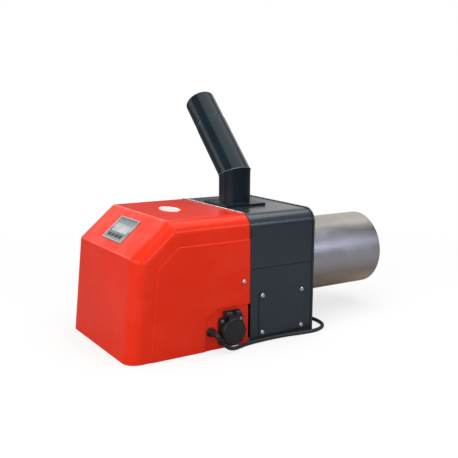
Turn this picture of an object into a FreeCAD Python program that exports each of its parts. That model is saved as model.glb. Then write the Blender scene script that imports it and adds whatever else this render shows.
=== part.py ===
import FreeCAD, Part
import math
import os

V = FreeCAD.Vector
X_DIR = V(1, 0, 0)
Y_DIR = V(0, 1, 0)
Z_DIR = V(0, 0, 1)

# Pellet burner. Origin on the axis of the burner tube, at the boiler side of
# the rear plate. +Y points into the boiler, +Z up, +X is the socket side.

# Housing
BODY_WIDTH = 260.0
BODY_HEIGHT = 232.0
TUBE_AXIS_HEIGHT = 116.0
BLACK_LENGTH = 136.0
HOOD_LENGTH = 238.0
SHEET = 2.0
CORNER_R = 25.0
SEAM = 0.8
SIDE_SEAM_HEIGHT = 134.0
PLATE_THICKNESS = 4.0
PLATE_PROUD = 1.5
FIT = 0.05
EDGE_R = 1.0

# Boiler fixing holes in the rear plate
BOLT_HOLE_R = 5.5
BOLT_SPACING_X = 200.0
BOLT_SPACING_Z = 140.0

# Hood
HOOD_WALL = 3.0
HOOD_SETBACK = 17.0
FOLD_HEIGHT = 175.0
SLOPE_RUN = 84.0
HOOD_CORNER_R = 24.0
FOLD_R = 8.0
PAD_STEP = 1.2
PAD_BEVEL_SHARE = 0.8
PAD_TOP_HEIGHT = 189.5
PAD_MARGIN = 41.0
PAD_CHAMFER_Y = 39.0
PAD_CHAMFER_Z = 34.5
CUT_HEIGHT = 73.5
CUT_LENGTH = 93.0
CUT_CHAMFER_Y = 24.0
CUT_CHAMFER_Z = 16.0
HOOD_SCREW_BACK = 14.0
HOOD_SCREW_HEIGHT = 115.0
BRACKET_HEIGHT = 30.0
BRACKET_LENGTH = 28.0
BRACKET_FOOT = 20.0

# Tray and socket panel
TRAY_FLANGE = 8.0
TRAY_GAP = 0.5
PANEL_GAP = 4.0

# Screws: head radius, head height, shank radius
PAN_HEAD_R = 4.0
PAN_HEAD_H = 2.6
PAN_HEAD_BEVEL = 0.9
RECESS_LENGTH = 4.6
RECESS_WIDTH = 1.2
RECESS_DEPTH = 1.3
SCREW_R = 2.0
SCREW_LENGTH = 10.0

# Service hatch
HATCH_THICKNESS = 1.5
HATCH_LENGTH = 101.0
HATCH_HEIGHT = 80.0
HATCH_CENTRE_Y = -71.5
HATCH_CENTRE_HEIGHT = 50.5
HATCH_SCREW_Y = 87.6
HATCH_SCREW_Z = 68.5
HATCH_LAP = 13.0

# Feed pipe
PIPE_R = 30.0
PIPE_WALL = 2.0
PIPE_BACK = 48.0
MITRE_HEIGHT = 60.0
PIPE_LEAN = 45.0
PIPE_LENGTH = 185.0
PIPE_DEPTH = 20.0
HOSE_SEAT = 60.0
HOSE_SEAT_STEP = 0.6
HOSE_SEAT_TAPER = 3.0
FLANGE_SIDE = 88.0
FLANGE_THICKNESS = 4.5
FLANGE_CORNER_R = 5.0

# Drop chute
CHUTE_WALL = 2.0
CHUTE_COLLAR = 26.0
CHUTE_SIGHT_GAP = 1.5
CHUTE_NECK_R = 21.0

# Feed auger
AUGER_DROP = 20.0
AUGER_TUBE_R = 27.0
AUGER_TUBE_WALL = 2.0
AUGER_TUBE_REACH = 46.0
SCREW_OUTER_R = 23.0
SCREW_CORE_R = 9.0
SCREW_PITCH = 44.0
FLIGHT_THICKNESS = 2.5
FLIGHT_ROOT = 1.0
SCREW_START_GAP = 0.5
SCREW_END_GAP = 6.0
DRIVE_SHAFT_R = 6.0
DRIVE_SHAFT_IN = 32.0
DRIVE_PIN_R = 2.5
DRIVE_PIN_Y = 19.0
BUSH_R = 10.0
BUSH_FLANGE_R = 15.0
BUSH_FLANGE = 3.0
BUSH_DEPTH = 8.0

# Gear motor
GEARBOX_WIDTH = 68.0
GEARBOX_HEIGHT = 80.0
GEARBOX_DEPTH = 42.0
GEARBOX_DROP = 40.0
GEARBOX_EDGE_R = 6.0
GEAR_SCREW_X = 25.0
GEAR_SCREW_Z = 32.0
MOTOR_R = 28.0
MOTOR_LENGTH = 64.0
MOTOR_RISE = 15.0
MOTOR_CAP_R = 4.0
MOTOR_BAND = 2.0
SHAFT_BLIND = 38.0

# Fan
FAN_BESIDE = 5.0
FAN_CENTRE_BACK = 95.0
FAN_DROP = 20.0
FAN_WIDTH = 36.0
FAN_WALL = 2.0
SCROLL_R = 46.0
SCROLL_STEP = 6.0
TONGUE_ANGLE = -20.0
FAN_FLANGE = 9.0
FAN_FLANGE_T = 3.0
FAN_INLET_R = 28.0
IMPELLER_R = 41.0
IMPELLER_INNER_R = 31.5
IMPELLER_GAP = 2.0
IMPELLER_DISC = 1.6
BLADE_COUNT = 20
BLADE_T = 1.2
BLADE_CAMBER = 3.0
FAN_HUB_R = 8.0
FAN_SHAFT_R = 3.0
FAN_MOTOR_R = 26.0
FAN_MOTOR_GAP = 5.8
FAN_CAP = 10.0
FAN_SHAFT_GAP = 1.0

# Igniter and flame sensor
IGNITER_X = 46.0
IGNITER_DROP = 20.0
IGNITER_TUBE_R = 8.0
IGNITER_ROD_R = 4.75
SIGHT_X = -31.5
SIGHT_RISE = 38.0
SIGHT_TUBE_R = 5.5
SMALL_TUBE_WALL = 1.5
SENSOR_TAIL = 12.0
HOLDER_FLANGE = 3.0
HOLDER_DEPTH = 14.0
TUBE_REAR = 6.0

# Burner head
TUBE_R = 75.0
TUBE_WALL = 2.0
TUBE_LENGTH = 222.0
CHAMBER_R = 60.0
CHAMBER_WALL = 2.5
CHAMBER_START = 40.0
CHAMBER_PROUD = 4.0
AIR_HOLE_R = 3.0
AIR_RINGS = 4
AIR_PER_RING = 7
AIR_ARC = 150.0
AIR_FIRST = 34.0
AIR_MOUTH = 38.0
PORT_COUNT = 10
PORT_R = 5.0
RING_THICKNESS = 4.0
RING_BACK = 10.0
GRATE_GAP = 1.0
GRATE_THICKNESS = 2.5
GRATE_SLOTS = 7
GRATE_SLOT_WIDTH = 6.0
GRATE_SLOT_LENGTH = 40.0
GRATE_MARGIN = 18.0

# Display
BEZEL_WIDTH = 77.0
BEZEL_HEIGHT = 53.0
BEZEL_PROUD = 1.8
BEZEL_LIP = 3.5
BEZEL_DEPTH = 11.0
BEZEL_WALL = 2.0
BEZEL_CORNER_R = 2.0
LCD_WIDTH = 62.0
LCD_HEIGHT = 20.0
LCD_RISE = 2.5
LCD_LIP = 1.6
LCD_RECESS = 0.6
LCD_LIP_T = 1.2
KEY_WIDTH = 9.6
KEY_HEIGHT = 6.6
KEY_PITCH = 14.5
KEY_COUNT = 4
KEY_DROP = 15.5
KEY_GAP = 0.25
KEY_PROUD = 0.9
KEY_TRAVEL = 1.0
KEY_LIP = 1.0
KEY_LIP_T = 1.2
KEY_REST_GAP = 0.3
BOARD_THICKNESS = 1.6
BOARD_MARGIN = 6.0
RELAY_SIDE = 16.0
RELAY_HEIGHT = 15.0
RELAY_PITCH = 20.0
TERMINAL_LENGTH = 60.0
TERMINAL_DEPTH = 20.0
TERMINAL_HEIGHT = 18.0
TERMINAL_POLES = 6
TERMINAL_SCREW_DEPTH = 6.0

# Panel socket
SOCKET_BACK = 41.3
SOCKET_HEIGHT = 31.5
SOCKET_SIDE = 50.0
SOCKET_PLATE = 4.0
SOCKET_CORNER_R = 5.0
SOCKET_COLLAR_R = 22.0
SOCKET_COLLAR = 8.0
SOCKET_WELL_R = 19.6
SOCKET_WELL = 17.5
SOCKET_FLOOR = 3.0
SOCKET_TAIL = 12.0
SOCKET_SCREW_SPACING = 38.0
SOCKET_SCREW_HEAD_R = 3.0
SOCKET_SCREW_HEAD_H = 1.8
SOCKET_SCREW_R = 1.6
CONTACT_SPACING = 19.0
CONTACT_R = 2.6
EARTH_WIDTH = 6.0
EARTH_T = 1.2
EARTH_HEIGHT = 12.0
HINGE_WIDTH = 30.0
HINGE_RISE = 32.0
HINGE_OUT = 10.7
HINGE_R = 4.4
EAR_THICKNESS = 4.0
KNUCKLE_R = 4.0
KNUCKLE_GAP = 0.3
PIN_R = 1.5
SPRING_WIRE_R = 0.35
SPRING_HALF = 3.4
SPRING_TURNS = 3
LID_R = 23.5
LID_THICKNESS = 4.0
LID_SKIRT = 5.0
LID_SKIRT_WALL = 1.0
LID_GAP = 0.4
LID_EDGE_R = 1.5
TAB_WIDTH = 14.0
TAB_OUT = 2.5
TAB_THICKNESS = 2.0
TAB_HEIGHT = 7.8

# Mains lead
CORD_R = 3.5
GLAND_BACK = 81.0
GLAND_HEIGHT = 33.5
GLAND_FLANGE_R = 8.5
GLAND_FLANGE = 4.0
GLAND_TIP = 14.0
GLAND_NECK_R = 6.2
GLAND_TAIL = 8.0
GLAND_NUT_AF = 19.0
GLAND_NUT = 5.0
RELIEF_WALL = 1.2
COIL_X = -42.0
COIL_Y = 50.0
COIL_R = 38.5
COIL_HALF_WIDTH = 7.5
COIL_TOP = 15.6
TIE_T = 0.8
TIE_WIDTH = 9.0
PLUG_R = 18.5
PLUG_WAIST_R = 13.3
PLUG_GRIP_R = 14.8
PLUG_BODY = 30.0
PLUG_HEAD = 12.0
PLUG_RELIEF = 22.0
PLUG_PIN_R = 2.4
PLUG_PIN_LENGTH = 19.0
PLUG_CLEAR_Y = 22.0
PLUG_X = -92.0

# Places that follow from the sizes above
BASE_Z = -TUBE_AXIS_HEIGHT
TOP_Z = BODY_HEIGHT - TUBE_AXIS_HEIGHT
HALF = BODY_WIDTH / 2
PLATE_BACK_Y = -PLATE_THICKNESS
BULKHEAD_Y = PLATE_BACK_Y - BLACK_LENGTH
BULKHEAD_REAR_Y = BULKHEAD_Y + SHEET
NOSE_Y = BULKHEAD_Y - HOOD_LENGTH
FLOOR_Z = BASE_Z + SHEET
SEAM_Z = BASE_Z + SIDE_SEAM_HEIGHT
HOOD_HALF = HALF - PAD_STEP
HOOD_IN = HOOD_HALF - HOOD_WALL
HOOD_END_Y = BULKHEAD_Y - SEAM
PIPE_Y = BULKHEAD_Y + PIPE_BACK
AUGER_Z = -AUGER_DROP
PANEL_OUT = HOOD_IN + SHEET
SOCKET_Y = BULKHEAD_Y - SOCKET_BACK
SOCKET_Z = BASE_Z + SOCKET_HEIGHT
SOCKET_FACE = PANEL_OUT + SOCKET_PLATE
COLLAR_FACE = SOCKET_FACE + SOCKET_COLLAR
HINGE_X = PANEL_OUT + HINGE_OUT
HINGE_Z = SOCKET_Z + HINGE_RISE
GLAND_Y = BULKHEAD_Y - GLAND_BACK
GLAND_Z = BASE_Z + GLAND_HEIGHT
GLAND_END = PANEL_OUT + GLAND_TIP
HATCH_Z = BASE_Z + HATCH_CENTRE_HEIGHT
FAN_Y = BULKHEAD_Y - FAN_CENTRE_BACK
FAN_Z = -FAN_DROP
FAN_RIGHT = -(GEARBOX_WIDTH / 2 + FAN_BESIDE + FAN_FLANGE)
FAN_CENTRE_X = FAN_RIGHT - FAN_WIDTH / 2
FAN_LEFT = FAN_RIGHT - FAN_WIDTH
FAN_MOTOR_END = -(HOOD_IN - FAN_MOTOR_GAP)
FAN_SHAFT_END = FAN_MOTOR_END + FAN_CAP
IGNITER_Z = -IGNITER_DROP
CHAMBER_END = TUBE_LENGTH - CHAMBER_PROUD
BUSH_FACE_Y = BULKHEAD_REAR_Y + BUSH_FLANGE
SCREW_START_Y = BUSH_FACE_Y + SCREW_START_GAP
SCREW_END_Y = AUGER_TUBE_REACH - SCREW_END_GAP
GRATE_Z = AUGER_Z - AUGER_TUBE_R - GRATE_GAP
PLUG_Z = BASE_Z + PLUG_R + FIT

# How far cutting shapes run past what they cut, and when two directions are alike
PAST = 10.0
ALIKE = 0.999


def box(x0, x1, y0, y1, z0, z1):
    return Part.makeBox(x1 - x0, y1 - y0, z1 - z0, V(x0, y0, z0))


def rod_x(radius, x0, x1, y, z):
    return Part.makeCylinder(radius, x1 - x0, V(x0, y, z), X_DIR)


def rod_y(radius, y0, y1, x, z):
    return Part.makeCylinder(radius, y1 - y0, V(x, y0, z), Y_DIR)


def rod_z(radius, z0, z1, x, y):
    return Part.makeCylinder(radius, z1 - z0, V(x, y, z0), Z_DIR)


def pipe_y(radius, wall, y0, y1, x, z):
    return rod_y(radius, y0, y1, x, z).cut(rod_y(radius - wall, y0 - PAST, y1 + PAST, x, z))


def side_prism(points, x0, x1):
    """A (y, z) outline in the side view, carried across from x0 to x1."""
    corners = [V(x0, y, z) for y, z in points]
    return Part.Face(Part.makePolygon(corners + corners[:1])).extrude(V(x1 - x0, 0, 0))


def revolve_x(points, y, z):
    """An (x, radius) outline turned about a line along X through y, z."""
    corners = [V(x, y + r, z) for x, r in points]
    face = Part.Face(Part.makePolygon(corners + corners[:1]))
    return face.revolve(V(0, y, z), X_DIR, 360)


def revolve_z(points, x, y):
    """A (radius, z) outline turned about a vertical line through x, y."""
    corners = [V(x + r, y, z) for r, z in points]
    face = Part.Face(Part.makePolygon(corners + corners[:1]))
    return face.revolve(V(x, y, 0), Z_DIR, 360)


def edges_along(shape, direction, keep):
    """Straight edges along a direction whose middle passes the test."""
    found = []
    for edge in shape.Edges:
        run = edge.Vertexes[-1].Point - edge.Vertexes[0].Point
        middle = edge.CenterOfMass
        if run.Length > 0 and abs(run.dot(direction)) > ALIKE * run.Length and keep(middle):
            found.append(edge)
    return found


def rounded_plate_x(y, z, width, height, x0, x1, radius):
    """A plate across X with its four corners rounded."""
    plate = box(x0, x1, y - width / 2, y + width / 2, z - height / 2, z + height / 2)
    return plate.makeFillet(radius, edges_along(plate, X_DIR, lambda p: True))


def pan_screw(direction):
    """A cross-recessed pan head screw with its head's seat at the origin, pointing along -direction."""
    head = Part.makeCylinder(PAN_HEAD_R, PAN_HEAD_H)
    rim = [e for e in head.Edges if e.Closed and e.CenterOfMass.z > PAN_HEAD_H / 2]
    head = head.makeChamfer(PAN_HEAD_BEVEL, rim)
    shank = Part.makeCylinder(SCREW_R - FIT, SCREW_LENGTH, V(0, 0, 0), Z_DIR * -1)
    screw = head.fuse(shank).removeSplitter()
    a, b = RECESS_LENGTH / 2, RECESS_WIDTH / 2
    z0, z1 = PAN_HEAD_H - RECESS_DEPTH, PAN_HEAD_H + PAST
    screw = screw.cut([box(-a, a, -b, b, z0, z1), box(-b, b, -a, a, z0, z1)])
    screw.Placement = FreeCAD.Placement(V(0, 0, 0), FreeCAD.Rotation(Z_DIR, direction))
    return screw


def moved(shape, x, y, z):
    copy = shape.copy()
    copy.translate(V(x, y, z))
    return copy


def export(name, shape):
    shape.exportStep("parts/" + name + ".step")


def group(shapes):
    return Part.makeCompound(shapes)


def cover_block(inset, y0, y1, z0):
    """The black section's outline with its rounded top corners, set in by a wall."""
    half = HALF - inset
    top = TOP_Z - inset
    block = box(-half, half, y0, y1, z0, top)
    corners = edges_along(block, Y_DIR, lambda p: p.z > top - EDGE_R)
    return block.makeFillet(max(CORNER_R - inset, EDGE_R), corners)


def hatch_screw_places():
    return [
        (HATCH_CENTRE_Y + i * HATCH_SCREW_Y / 2, HATCH_Z + j * HATCH_SCREW_Z / 2)
        for i in (-1, 1)
        for j in (-1, 1)
    ]


def upper_cover():
    y0, y1 = BULKHEAD_Y, PLATE_BACK_Y
    outer = cover_block(0, y0, y1, SEAM_Z + SEAM)
    inner = cover_block(SHEET, y0 - PAST, y1 + PAST, SEAM_Z + SEAM - PAST)
    hole = rod_z(PIPE_R + FIT, TOP_Z - PAST, TOP_Z + PAST, 0, PIPE_Y)
    return outer.cut(inner).cut(hole)


def lower_housing():
    y0, y1 = BULKHEAD_Y, PLATE_BACK_Y
    outer = box(-HALF, HALF, y0, y1, BASE_Z, SEAM_Z)
    inner = box(-HALF + SHEET, HALF - SHEET, y0 - PAST, y1 + PAST, FLOOR_Z, SEAM_Z + PAST)
    window = rounded_plate_x(
        HATCH_CENTRE_Y,
        HATCH_Z,
        HATCH_LENGTH - 2 * HATCH_LAP,
        HATCH_HEIGHT - 2 * HATCH_LAP,
        HALF - SHEET - PAST,
        HALF + PAST,
        HATCH_LAP / 2,
    )
    shell = outer.cut(inner).cut(window)
    for y, z in hatch_screw_places():
        shell = shell.cut(rod_x(SCREW_R, HALF - SHEET - PAST, HALF + PAST, y, z))
    return shell


def service_hatch():
    plate = rounded_plate_x(
        HATCH_CENTRE_Y, HATCH_Z, HATCH_LENGTH, HATCH_HEIGHT, HALF, HALF + HATCH_THICKNESS, EDGE_R
    )
    for y, z in hatch_screw_places():
        plate = plate.cut(rod_x(SCREW_R + FIT, HALF - PAST, HALF + PAST, y, z))
    return plate


def hatch_screws():
    screw = pan_screw(X_DIR)
    return group([moved(screw, HALF + HATCH_THICKNESS, y, z) for y, z in hatch_screw_places()])


def gear_screw_places():
    z = AUGER_Z + GEARBOX_HEIGHT / 2 - GEARBOX_DROP
    return [(i * GEAR_SCREW_X, z + j * GEAR_SCREW_Z) for i in (-1, 1) for j in (-1, 1)]


def scroll_bottom():
    return FAN_Z - SCROLL_R - 3 * SCROLL_STEP


def tongue_z():
    return FAN_Z + SCROLL_R * math.sin(math.radians(TONGUE_ANGLE))


def fan_screw_places():
    x0, x1 = FAN_LEFT - FAN_FLANGE / 2, FAN_RIGHT + FAN_FLANGE / 2
    z0, z1 = scroll_bottom() - FAN_FLANGE / 2, tongue_z() + FAN_FLANGE / 2
    return [(x, z) for x in (x0, x1) for z in (z0, z1)]


def bulkhead_plate():
    y0, y1 = BULKHEAD_Y, BULKHEAD_REAR_Y
    plate = cover_block(SHEET, y0, y1, FLOOR_Z)
    through = (y0 - PAST, y1 + PAST)
    plate = plate.cut(rod_y(BUSH_R + FIT, *through, 0, AUGER_Z))
    plate = plate.cut(rod_y(IGNITER_TUBE_R + FIT, *through, IGNITER_X, IGNITER_Z))
    plate = plate.cut(rod_y(SIGHT_TUBE_R + FIT, *through, SIGHT_X, SIGHT_RISE))
    for x, z in gear_screw_places() + fan_screw_places():
        plate = plate.cut(rod_y(SCREW_R, *through, x, z))
    x0, x1 = FAN_LEFT + FAN_WALL, FAN_RIGHT - FAN_WALL
    return plate.cut(box(x0, x1, *through, scroll_bottom() + FAN_WALL, tongue_z() - FAN_WALL))


def port_places():
    radius = (CHAMBER_R + TUBE_R - TUBE_WALL) / 2
    turns = [2 * math.pi * (i + 0.5) / PORT_COUNT for i in range(PORT_COUNT)]
    return [(radius * math.cos(t), radius * math.sin(t)) for t in turns]


def rear_plate():
    half = HALF + PLATE_PROUD
    plate = box(-half, half, PLATE_BACK_Y, 0, BASE_Z, TOP_Z + PLATE_PROUD)
    corners = edges_along(plate, Y_DIR, lambda p: p.z > TOP_Z)
    plate = plate.makeFillet(CORNER_R + PLATE_PROUD, corners)
    through = (PLATE_BACK_Y - PAST, PAST)
    plate = plate.cut(rod_y(AUGER_TUBE_R + FIT, *through, 0, AUGER_Z))
    plate = plate.cut(rod_y(IGNITER_TUBE_R + FIT, *through, IGNITER_X, IGNITER_Z))
    plate = plate.cut(rod_y(SIGHT_TUBE_R + FIT, *through, SIGHT_X, SIGHT_RISE))
    for x, z in port_places():
        plate = plate.cut(rod_y(PORT_R, *through, x, z))
    for i in (-1, 1):
        for j in (-1, 1):
            x, z = i * BOLT_SPACING_X / 2, j * BOLT_SPACING_Z / 2
            plate = plate.cut(rod_y(BOLT_HOLE_R, *through, x, z))
    return plate


def inset_line(points, inset):
    """An open outline moved to its right by a wall, with its corners kept sharp."""
    lines = []
    for (y0, z0), (y1, z1) in zip(points, points[1:]):
        length = math.hypot(y1 - y0, z1 - z0)
        ny, nz = (z1 - z0) / length, -(y1 - y0) / length
        lines.append((ny, nz, ny * (y0 + ny * inset) + nz * (z0 + nz * inset)))
    corners = [points[0]]
    for (a, b, c), (d, e, f) in zip(lines, lines[1:]):
        det = a * e - b * d
        corners.append(((c * e - b * f) / det, (a * f - c * d) / det))
    first, last = lines[0], lines[-1]
    corners[0] = ((first[2] - first[1] * points[0][1]) / first[0], points[0][1])
    corners.append((points[-1][0], (last[2] - last[0] * points[-1][0]) / last[1]))
    return corners


def hood_line():
    return [
        (NOSE_Y, BASE_Z),
        (NOSE_Y + HOOD_SETBACK, BASE_Z + FOLD_HEIGHT),
        (NOSE_Y + SLOPE_RUN, TOP_Z),
        (HOOD_END_Y, TOP_Z),
    ]


def hood_block(inset, past):
    """The hood's outer form, set in by a wall and let run past its open rear and floor."""
    half = HOOD_HALF - inset
    line = inset_line(hood_line(), inset)
    lean = HOOD_SETBACK / FOLD_HEIGHT
    line[0] = (line[0][0] - past * lean, line[0][1] - past)
    line[-1] = (line[-1][0] + past, line[-1][1])
    low = line[0][1]
    block = side_prism(line + [(line[-1][0], low)], -half, half)
    folds = edges_along(block, X_DIR, lambda p: p.z > low + PAST and p.y < line[-1][0] - PAST)
    block = block.makeFillet(max(FOLD_R - inset, EDGE_R), folds)
    rims = []
    for edge in block.Edges:
        b = edge.BoundBox
        flat = b.XLength < FIT and abs(abs(b.Center.x) - half) < FIT
        open_side = b.YMin > line[-1][0] - FIT or b.ZMax < low + FIT
        if flat and not open_side:
            rims.append(edge)
    return block.makeFillet(max(HOOD_CORNER_R - inset, EDGE_R), rims)


def hood_pad(side):
    """The raised field on the hood's side."""
    lean = HOOD_SETBACK / FOLD_HEIGHT
    top = BASE_Z + PAD_TOP_HEIGHT
    knee = top - PAD_CHAMFER_Z
    front = NOSE_Y + PAD_MARGIN
    points = [
        (front, BASE_Z),
        (front + (knee - BASE_Z) * lean, knee),
        (front + (knee - BASE_Z) * lean + PAD_CHAMFER_Y, top),
        (HOOD_END_Y, top),
        (HOOD_END_Y, BASE_Z),
    ]
    inner, outer = side * (HOOD_HALF - HOOD_WALL / 2), side * (HOOD_HALF + PAD_STEP)
    pad = side_prism(points, inner, outer)
    rims = []
    for edge in pad.Edges:
        b = edge.BoundBox
        on_face = b.XLength < FIT and abs(b.Center.x - outer) < FIT
        if on_face and b.YMin < HOOD_END_Y - FIT and b.ZMax > BASE_Z + FIT:
            rims.append(edge)
    return pad.makeChamfer(PAD_STEP * PAD_BEVEL_SHARE, rims)


def cut_outline(gap, end):
    """The opening in the hood's side round the socket panel, closed in by a gap."""
    y0 = BULKHEAD_Y - CUT_LENGTH + gap
    top = BASE_Z + CUT_HEIGHT - gap
    return [
        (y0, BASE_Z),
        (y0, top - CUT_CHAMFER_Z),
        (y0 + CUT_CHAMFER_Y, top),
        (end, top),
        (end, BASE_Z),
    ]


def rounded_cut(gap, end, x0, x1, past):
    points = cut_outline(gap, end)
    points[0] = (points[0][0], BASE_Z - past)
    points[-1] = (points[-1][0], BASE_Z - past)
    prism = side_prism(points, x0, x1)
    corners = edges_along(prism, X_DIR, lambda p: p.z > BASE_Z + PAST and p.y < end - PAST)
    return prism.makeFillet(min(CUT_CHAMFER_Z, CUT_CHAMFER_Y) / 2, corners)


def slope_frame():
    """Places a shape drawn flat, +Z outward, on the middle of the hood's slope."""
    (y0, z0), (y1, z1) = hood_line()[1:3]
    angle = math.degrees(math.atan2(z1 - z0, y1 - y0))
    middle = V(0, (y0 + y1) / 2, (z0 + z1) / 2)
    return FreeCAD.Placement(middle, FreeCAD.Rotation(X_DIR, angle))


def on_slope(shape):
    placed = shape.copy()
    placed.Placement = slope_frame().multiply(placed.Placement)
    return placed


def flat_block(width, height, z0, z1, x=0, y=0, radius=0):
    block = box(x - width / 2, x + width / 2, y - height / 2, y + height / 2, z0, z1)
    if radius > 0:
        block = block.makeFillet(radius, edges_along(block, Z_DIR, lambda p: True))
    return block


def hood_screw_place():
    return BULKHEAD_Y - HOOD_SCREW_BACK, BASE_Z + HOOD_SCREW_HEIGHT


def red_hood():
    shell = hood_block(0, 0).cut(hood_block(HOOD_WALL, PAST))
    for side in (-1, 1):
        shell = shell.fuse(hood_pad(side))
    shell = shell.removeSplitter()
    window = flat_block(
        BEZEL_WIDTH - 2 * BEZEL_LIP, BEZEL_HEIGHT - 2 * BEZEL_LIP, -HOOD_WALL - PAST, PAST
    )
    shell = shell.cut(on_slope(window))
    shell = shell.cut(rounded_cut(0, BULKHEAD_Y + PAST, HOOD_IN - PAST, HALF + PAST, PAST))
    y, z = hood_screw_place()
    return shell.cut(rod_x(SCREW_R + FIT, -HALF - PAST, HALF + PAST, y, z))


def hood_brackets():
    """Two angle brackets on the bulkhead that the hood's side screws go into."""
    y, z = hood_screw_place()
    z0, z1 = z - BRACKET_HEIGHT / 2, z + BRACKET_HEIGHT / 2
    y0 = BULKHEAD_Y - BRACKET_LENGTH
    made = []
    for side in (-1, 1):
        xs = sorted((side * HOOD_IN, side * (HOOD_IN - SHEET)))
        arm = box(*xs, y0, BULKHEAD_Y, z0, z1)
        xf = sorted((side * HOOD_IN, side * (HOOD_IN - BRACKET_FOOT)))
        foot = box(*xf, BULKHEAD_Y - SHEET, BULKHEAD_Y, z0, z1)
        angle = arm.fuse(foot).removeSplitter()
        made.append(angle.cut(rod_x(SCREW_R, -HALF, HALF, y, z)))
    return group(made)


def hood_screws():
    y, z = hood_screw_place()
    face = HOOD_HALF + PAD_STEP
    return group([moved(pan_screw(X_DIR * s), s * face, y, z) for s in (-1, 1)])


def base_tray():
    """Floor pan of the red section with low side flanges, inside the hood's walls."""
    y0 = NOSE_Y + HOOD_WALL + TRAY_GAP
    pan = box(-HOOD_IN, HOOD_IN, y0, BULKHEAD_Y, BASE_Z, BASE_Z + TRAY_FLANGE)
    corners = edges_along(pan, Z_DIR, lambda p: p.y < y0 + EDGE_R)
    corner_r = max(HOOD_CORNER_R - HOOD_WALL, EDGE_R) + TRAY_GAP
    pan = pan.makeFillet(corner_r, corners)
    half = HOOD_IN - SHEET
    hollow = box(-half, half, y0 - PAST, BULKHEAD_Y + PAST, FLOOR_Z, BASE_Z + TRAY_FLANGE + PAST)
    nose = box(-HALF, HALF, y0 - PAST, y0 + corner_r, FLOOR_Z, BASE_Z + TRAY_FLANGE + PAST)
    return pan.cut(hollow).cut(nose)


def socket_panel():
    end = BULKHEAD_Y - PANEL_GAP
    panel = rounded_cut(SEAM, end, HOOD_IN, PANEL_OUT, 0)
    through = (HOOD_IN - PAST, PANEL_OUT + PAST)
    panel = panel.cut(rod_x(SOCKET_WELL_R + SOCKET_FLOOR / 2, *through, SOCKET_Y, SOCKET_Z))
    panel = panel.cut(rod_x(GLAND_NECK_R + FIT, *through, GLAND_Y, GLAND_Z))
    for y, z in socket_screw_places():
        panel = panel.cut(rod_x(SOCKET_SCREW_R, *through, y, z))
    return panel


def socket_screw_places():
    half = SOCKET_SCREW_SPACING / 2
    return [(SOCKET_Y + i * half, SOCKET_Z + j * half) for i in (-1, 1) for j in (-1, 1)]


def socket_screws():
    made = []
    for y, z in socket_screw_places():
        head = rod_x(SOCKET_SCREW_HEAD_R, SOCKET_FACE, SOCKET_FACE + SOCKET_SCREW_HEAD_H, y, z)
        shank = rod_x(SOCKET_SCREW_R - FIT, HOOD_IN - SHEET, SOCKET_FACE, y, z)
        made.append(head.fuse(shank).removeSplitter())
    return group(made)


def socket_body():
    """Flush socket: plate, collar, well with two contact holes, and the lid's hinge ears."""
    y, z = SOCKET_Y, SOCKET_Z
    body = rounded_plate_x(y, z, SOCKET_SIDE, SOCKET_SIDE, PANEL_OUT, SOCKET_FACE, SOCKET_CORNER_R)
    tail = COLLAR_FACE - SOCKET_WELL - SOCKET_FLOOR - SOCKET_TAIL
    rear_r = SOCKET_WELL_R + SOCKET_FLOOR / 2 - FIT
    body = body.fuse(rod_x(rear_r, tail, PANEL_OUT, y, z))
    body = body.fuse(rod_x(SOCKET_COLLAR_R, SOCKET_FACE, COLLAR_FACE, y, z))
    rise = box(
        PANEL_OUT,
        HINGE_X - KNUCKLE_R - KNUCKLE_GAP,
        y - HINGE_WIDTH / 2,
        y + HINGE_WIDTH / 2,
        z + SOCKET_SIDE / 2 - SOCKET_CORNER_R,
        HINGE_Z + HINGE_R,
    )
    body = body.fuse(rise)
    for side in (-1, 1):
        ys = sorted((y + side * HINGE_WIDTH / 2, y + side * (HINGE_WIDTH / 2 - EAR_THICKNESS)))
        ear = box(PANEL_OUT, HINGE_X, *ys, HINGE_Z - HINGE_R, HINGE_Z + HINGE_R)
        body = body.fuse(ear).fuse(rod_y(HINGE_R, *ys, HINGE_X, HINGE_Z))
    body = body.removeSplitter()
    body = body.cut(rod_x(SOCKET_WELL_R, COLLAR_FACE - SOCKET_WELL, COLLAR_FACE + PAST, y, z))
    well_floor = COLLAR_FACE - SOCKET_WELL
    for side in (-1, 1):
        hole_y = y + side * CONTACT_SPACING / 2
        body = body.cut(rod_x(CONTACT_R, tail + SOCKET_FLOOR, COLLAR_FACE, hole_y, z))
        zs = sorted((z + side * SOCKET_WELL_R, z + side * (SOCKET_WELL_R - EARTH_T)))
        slot = box(
            well_floor - EARTH_HEIGHT / 2,
            well_floor + FIT,
            y - EARTH_WIDTH / 2 - FIT,
            y + EARTH_WIDTH / 2 + FIT,
            zs[0] - FIT,
            zs[1] + FIT,
        )
        body = body.cut(slot)
    body = body.cut(rod_y(PIN_R + FIT / 2, y - HINGE_WIDTH, y + HINGE_WIDTH, HINGE_X, HINGE_Z))
    for sy, sz in socket_screw_places():
        body = body.cut(rod_x(SOCKET_SCREW_R + FIT, PANEL_OUT - PAST, SOCKET_FACE + PAST, sy, sz))
    return body


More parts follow.
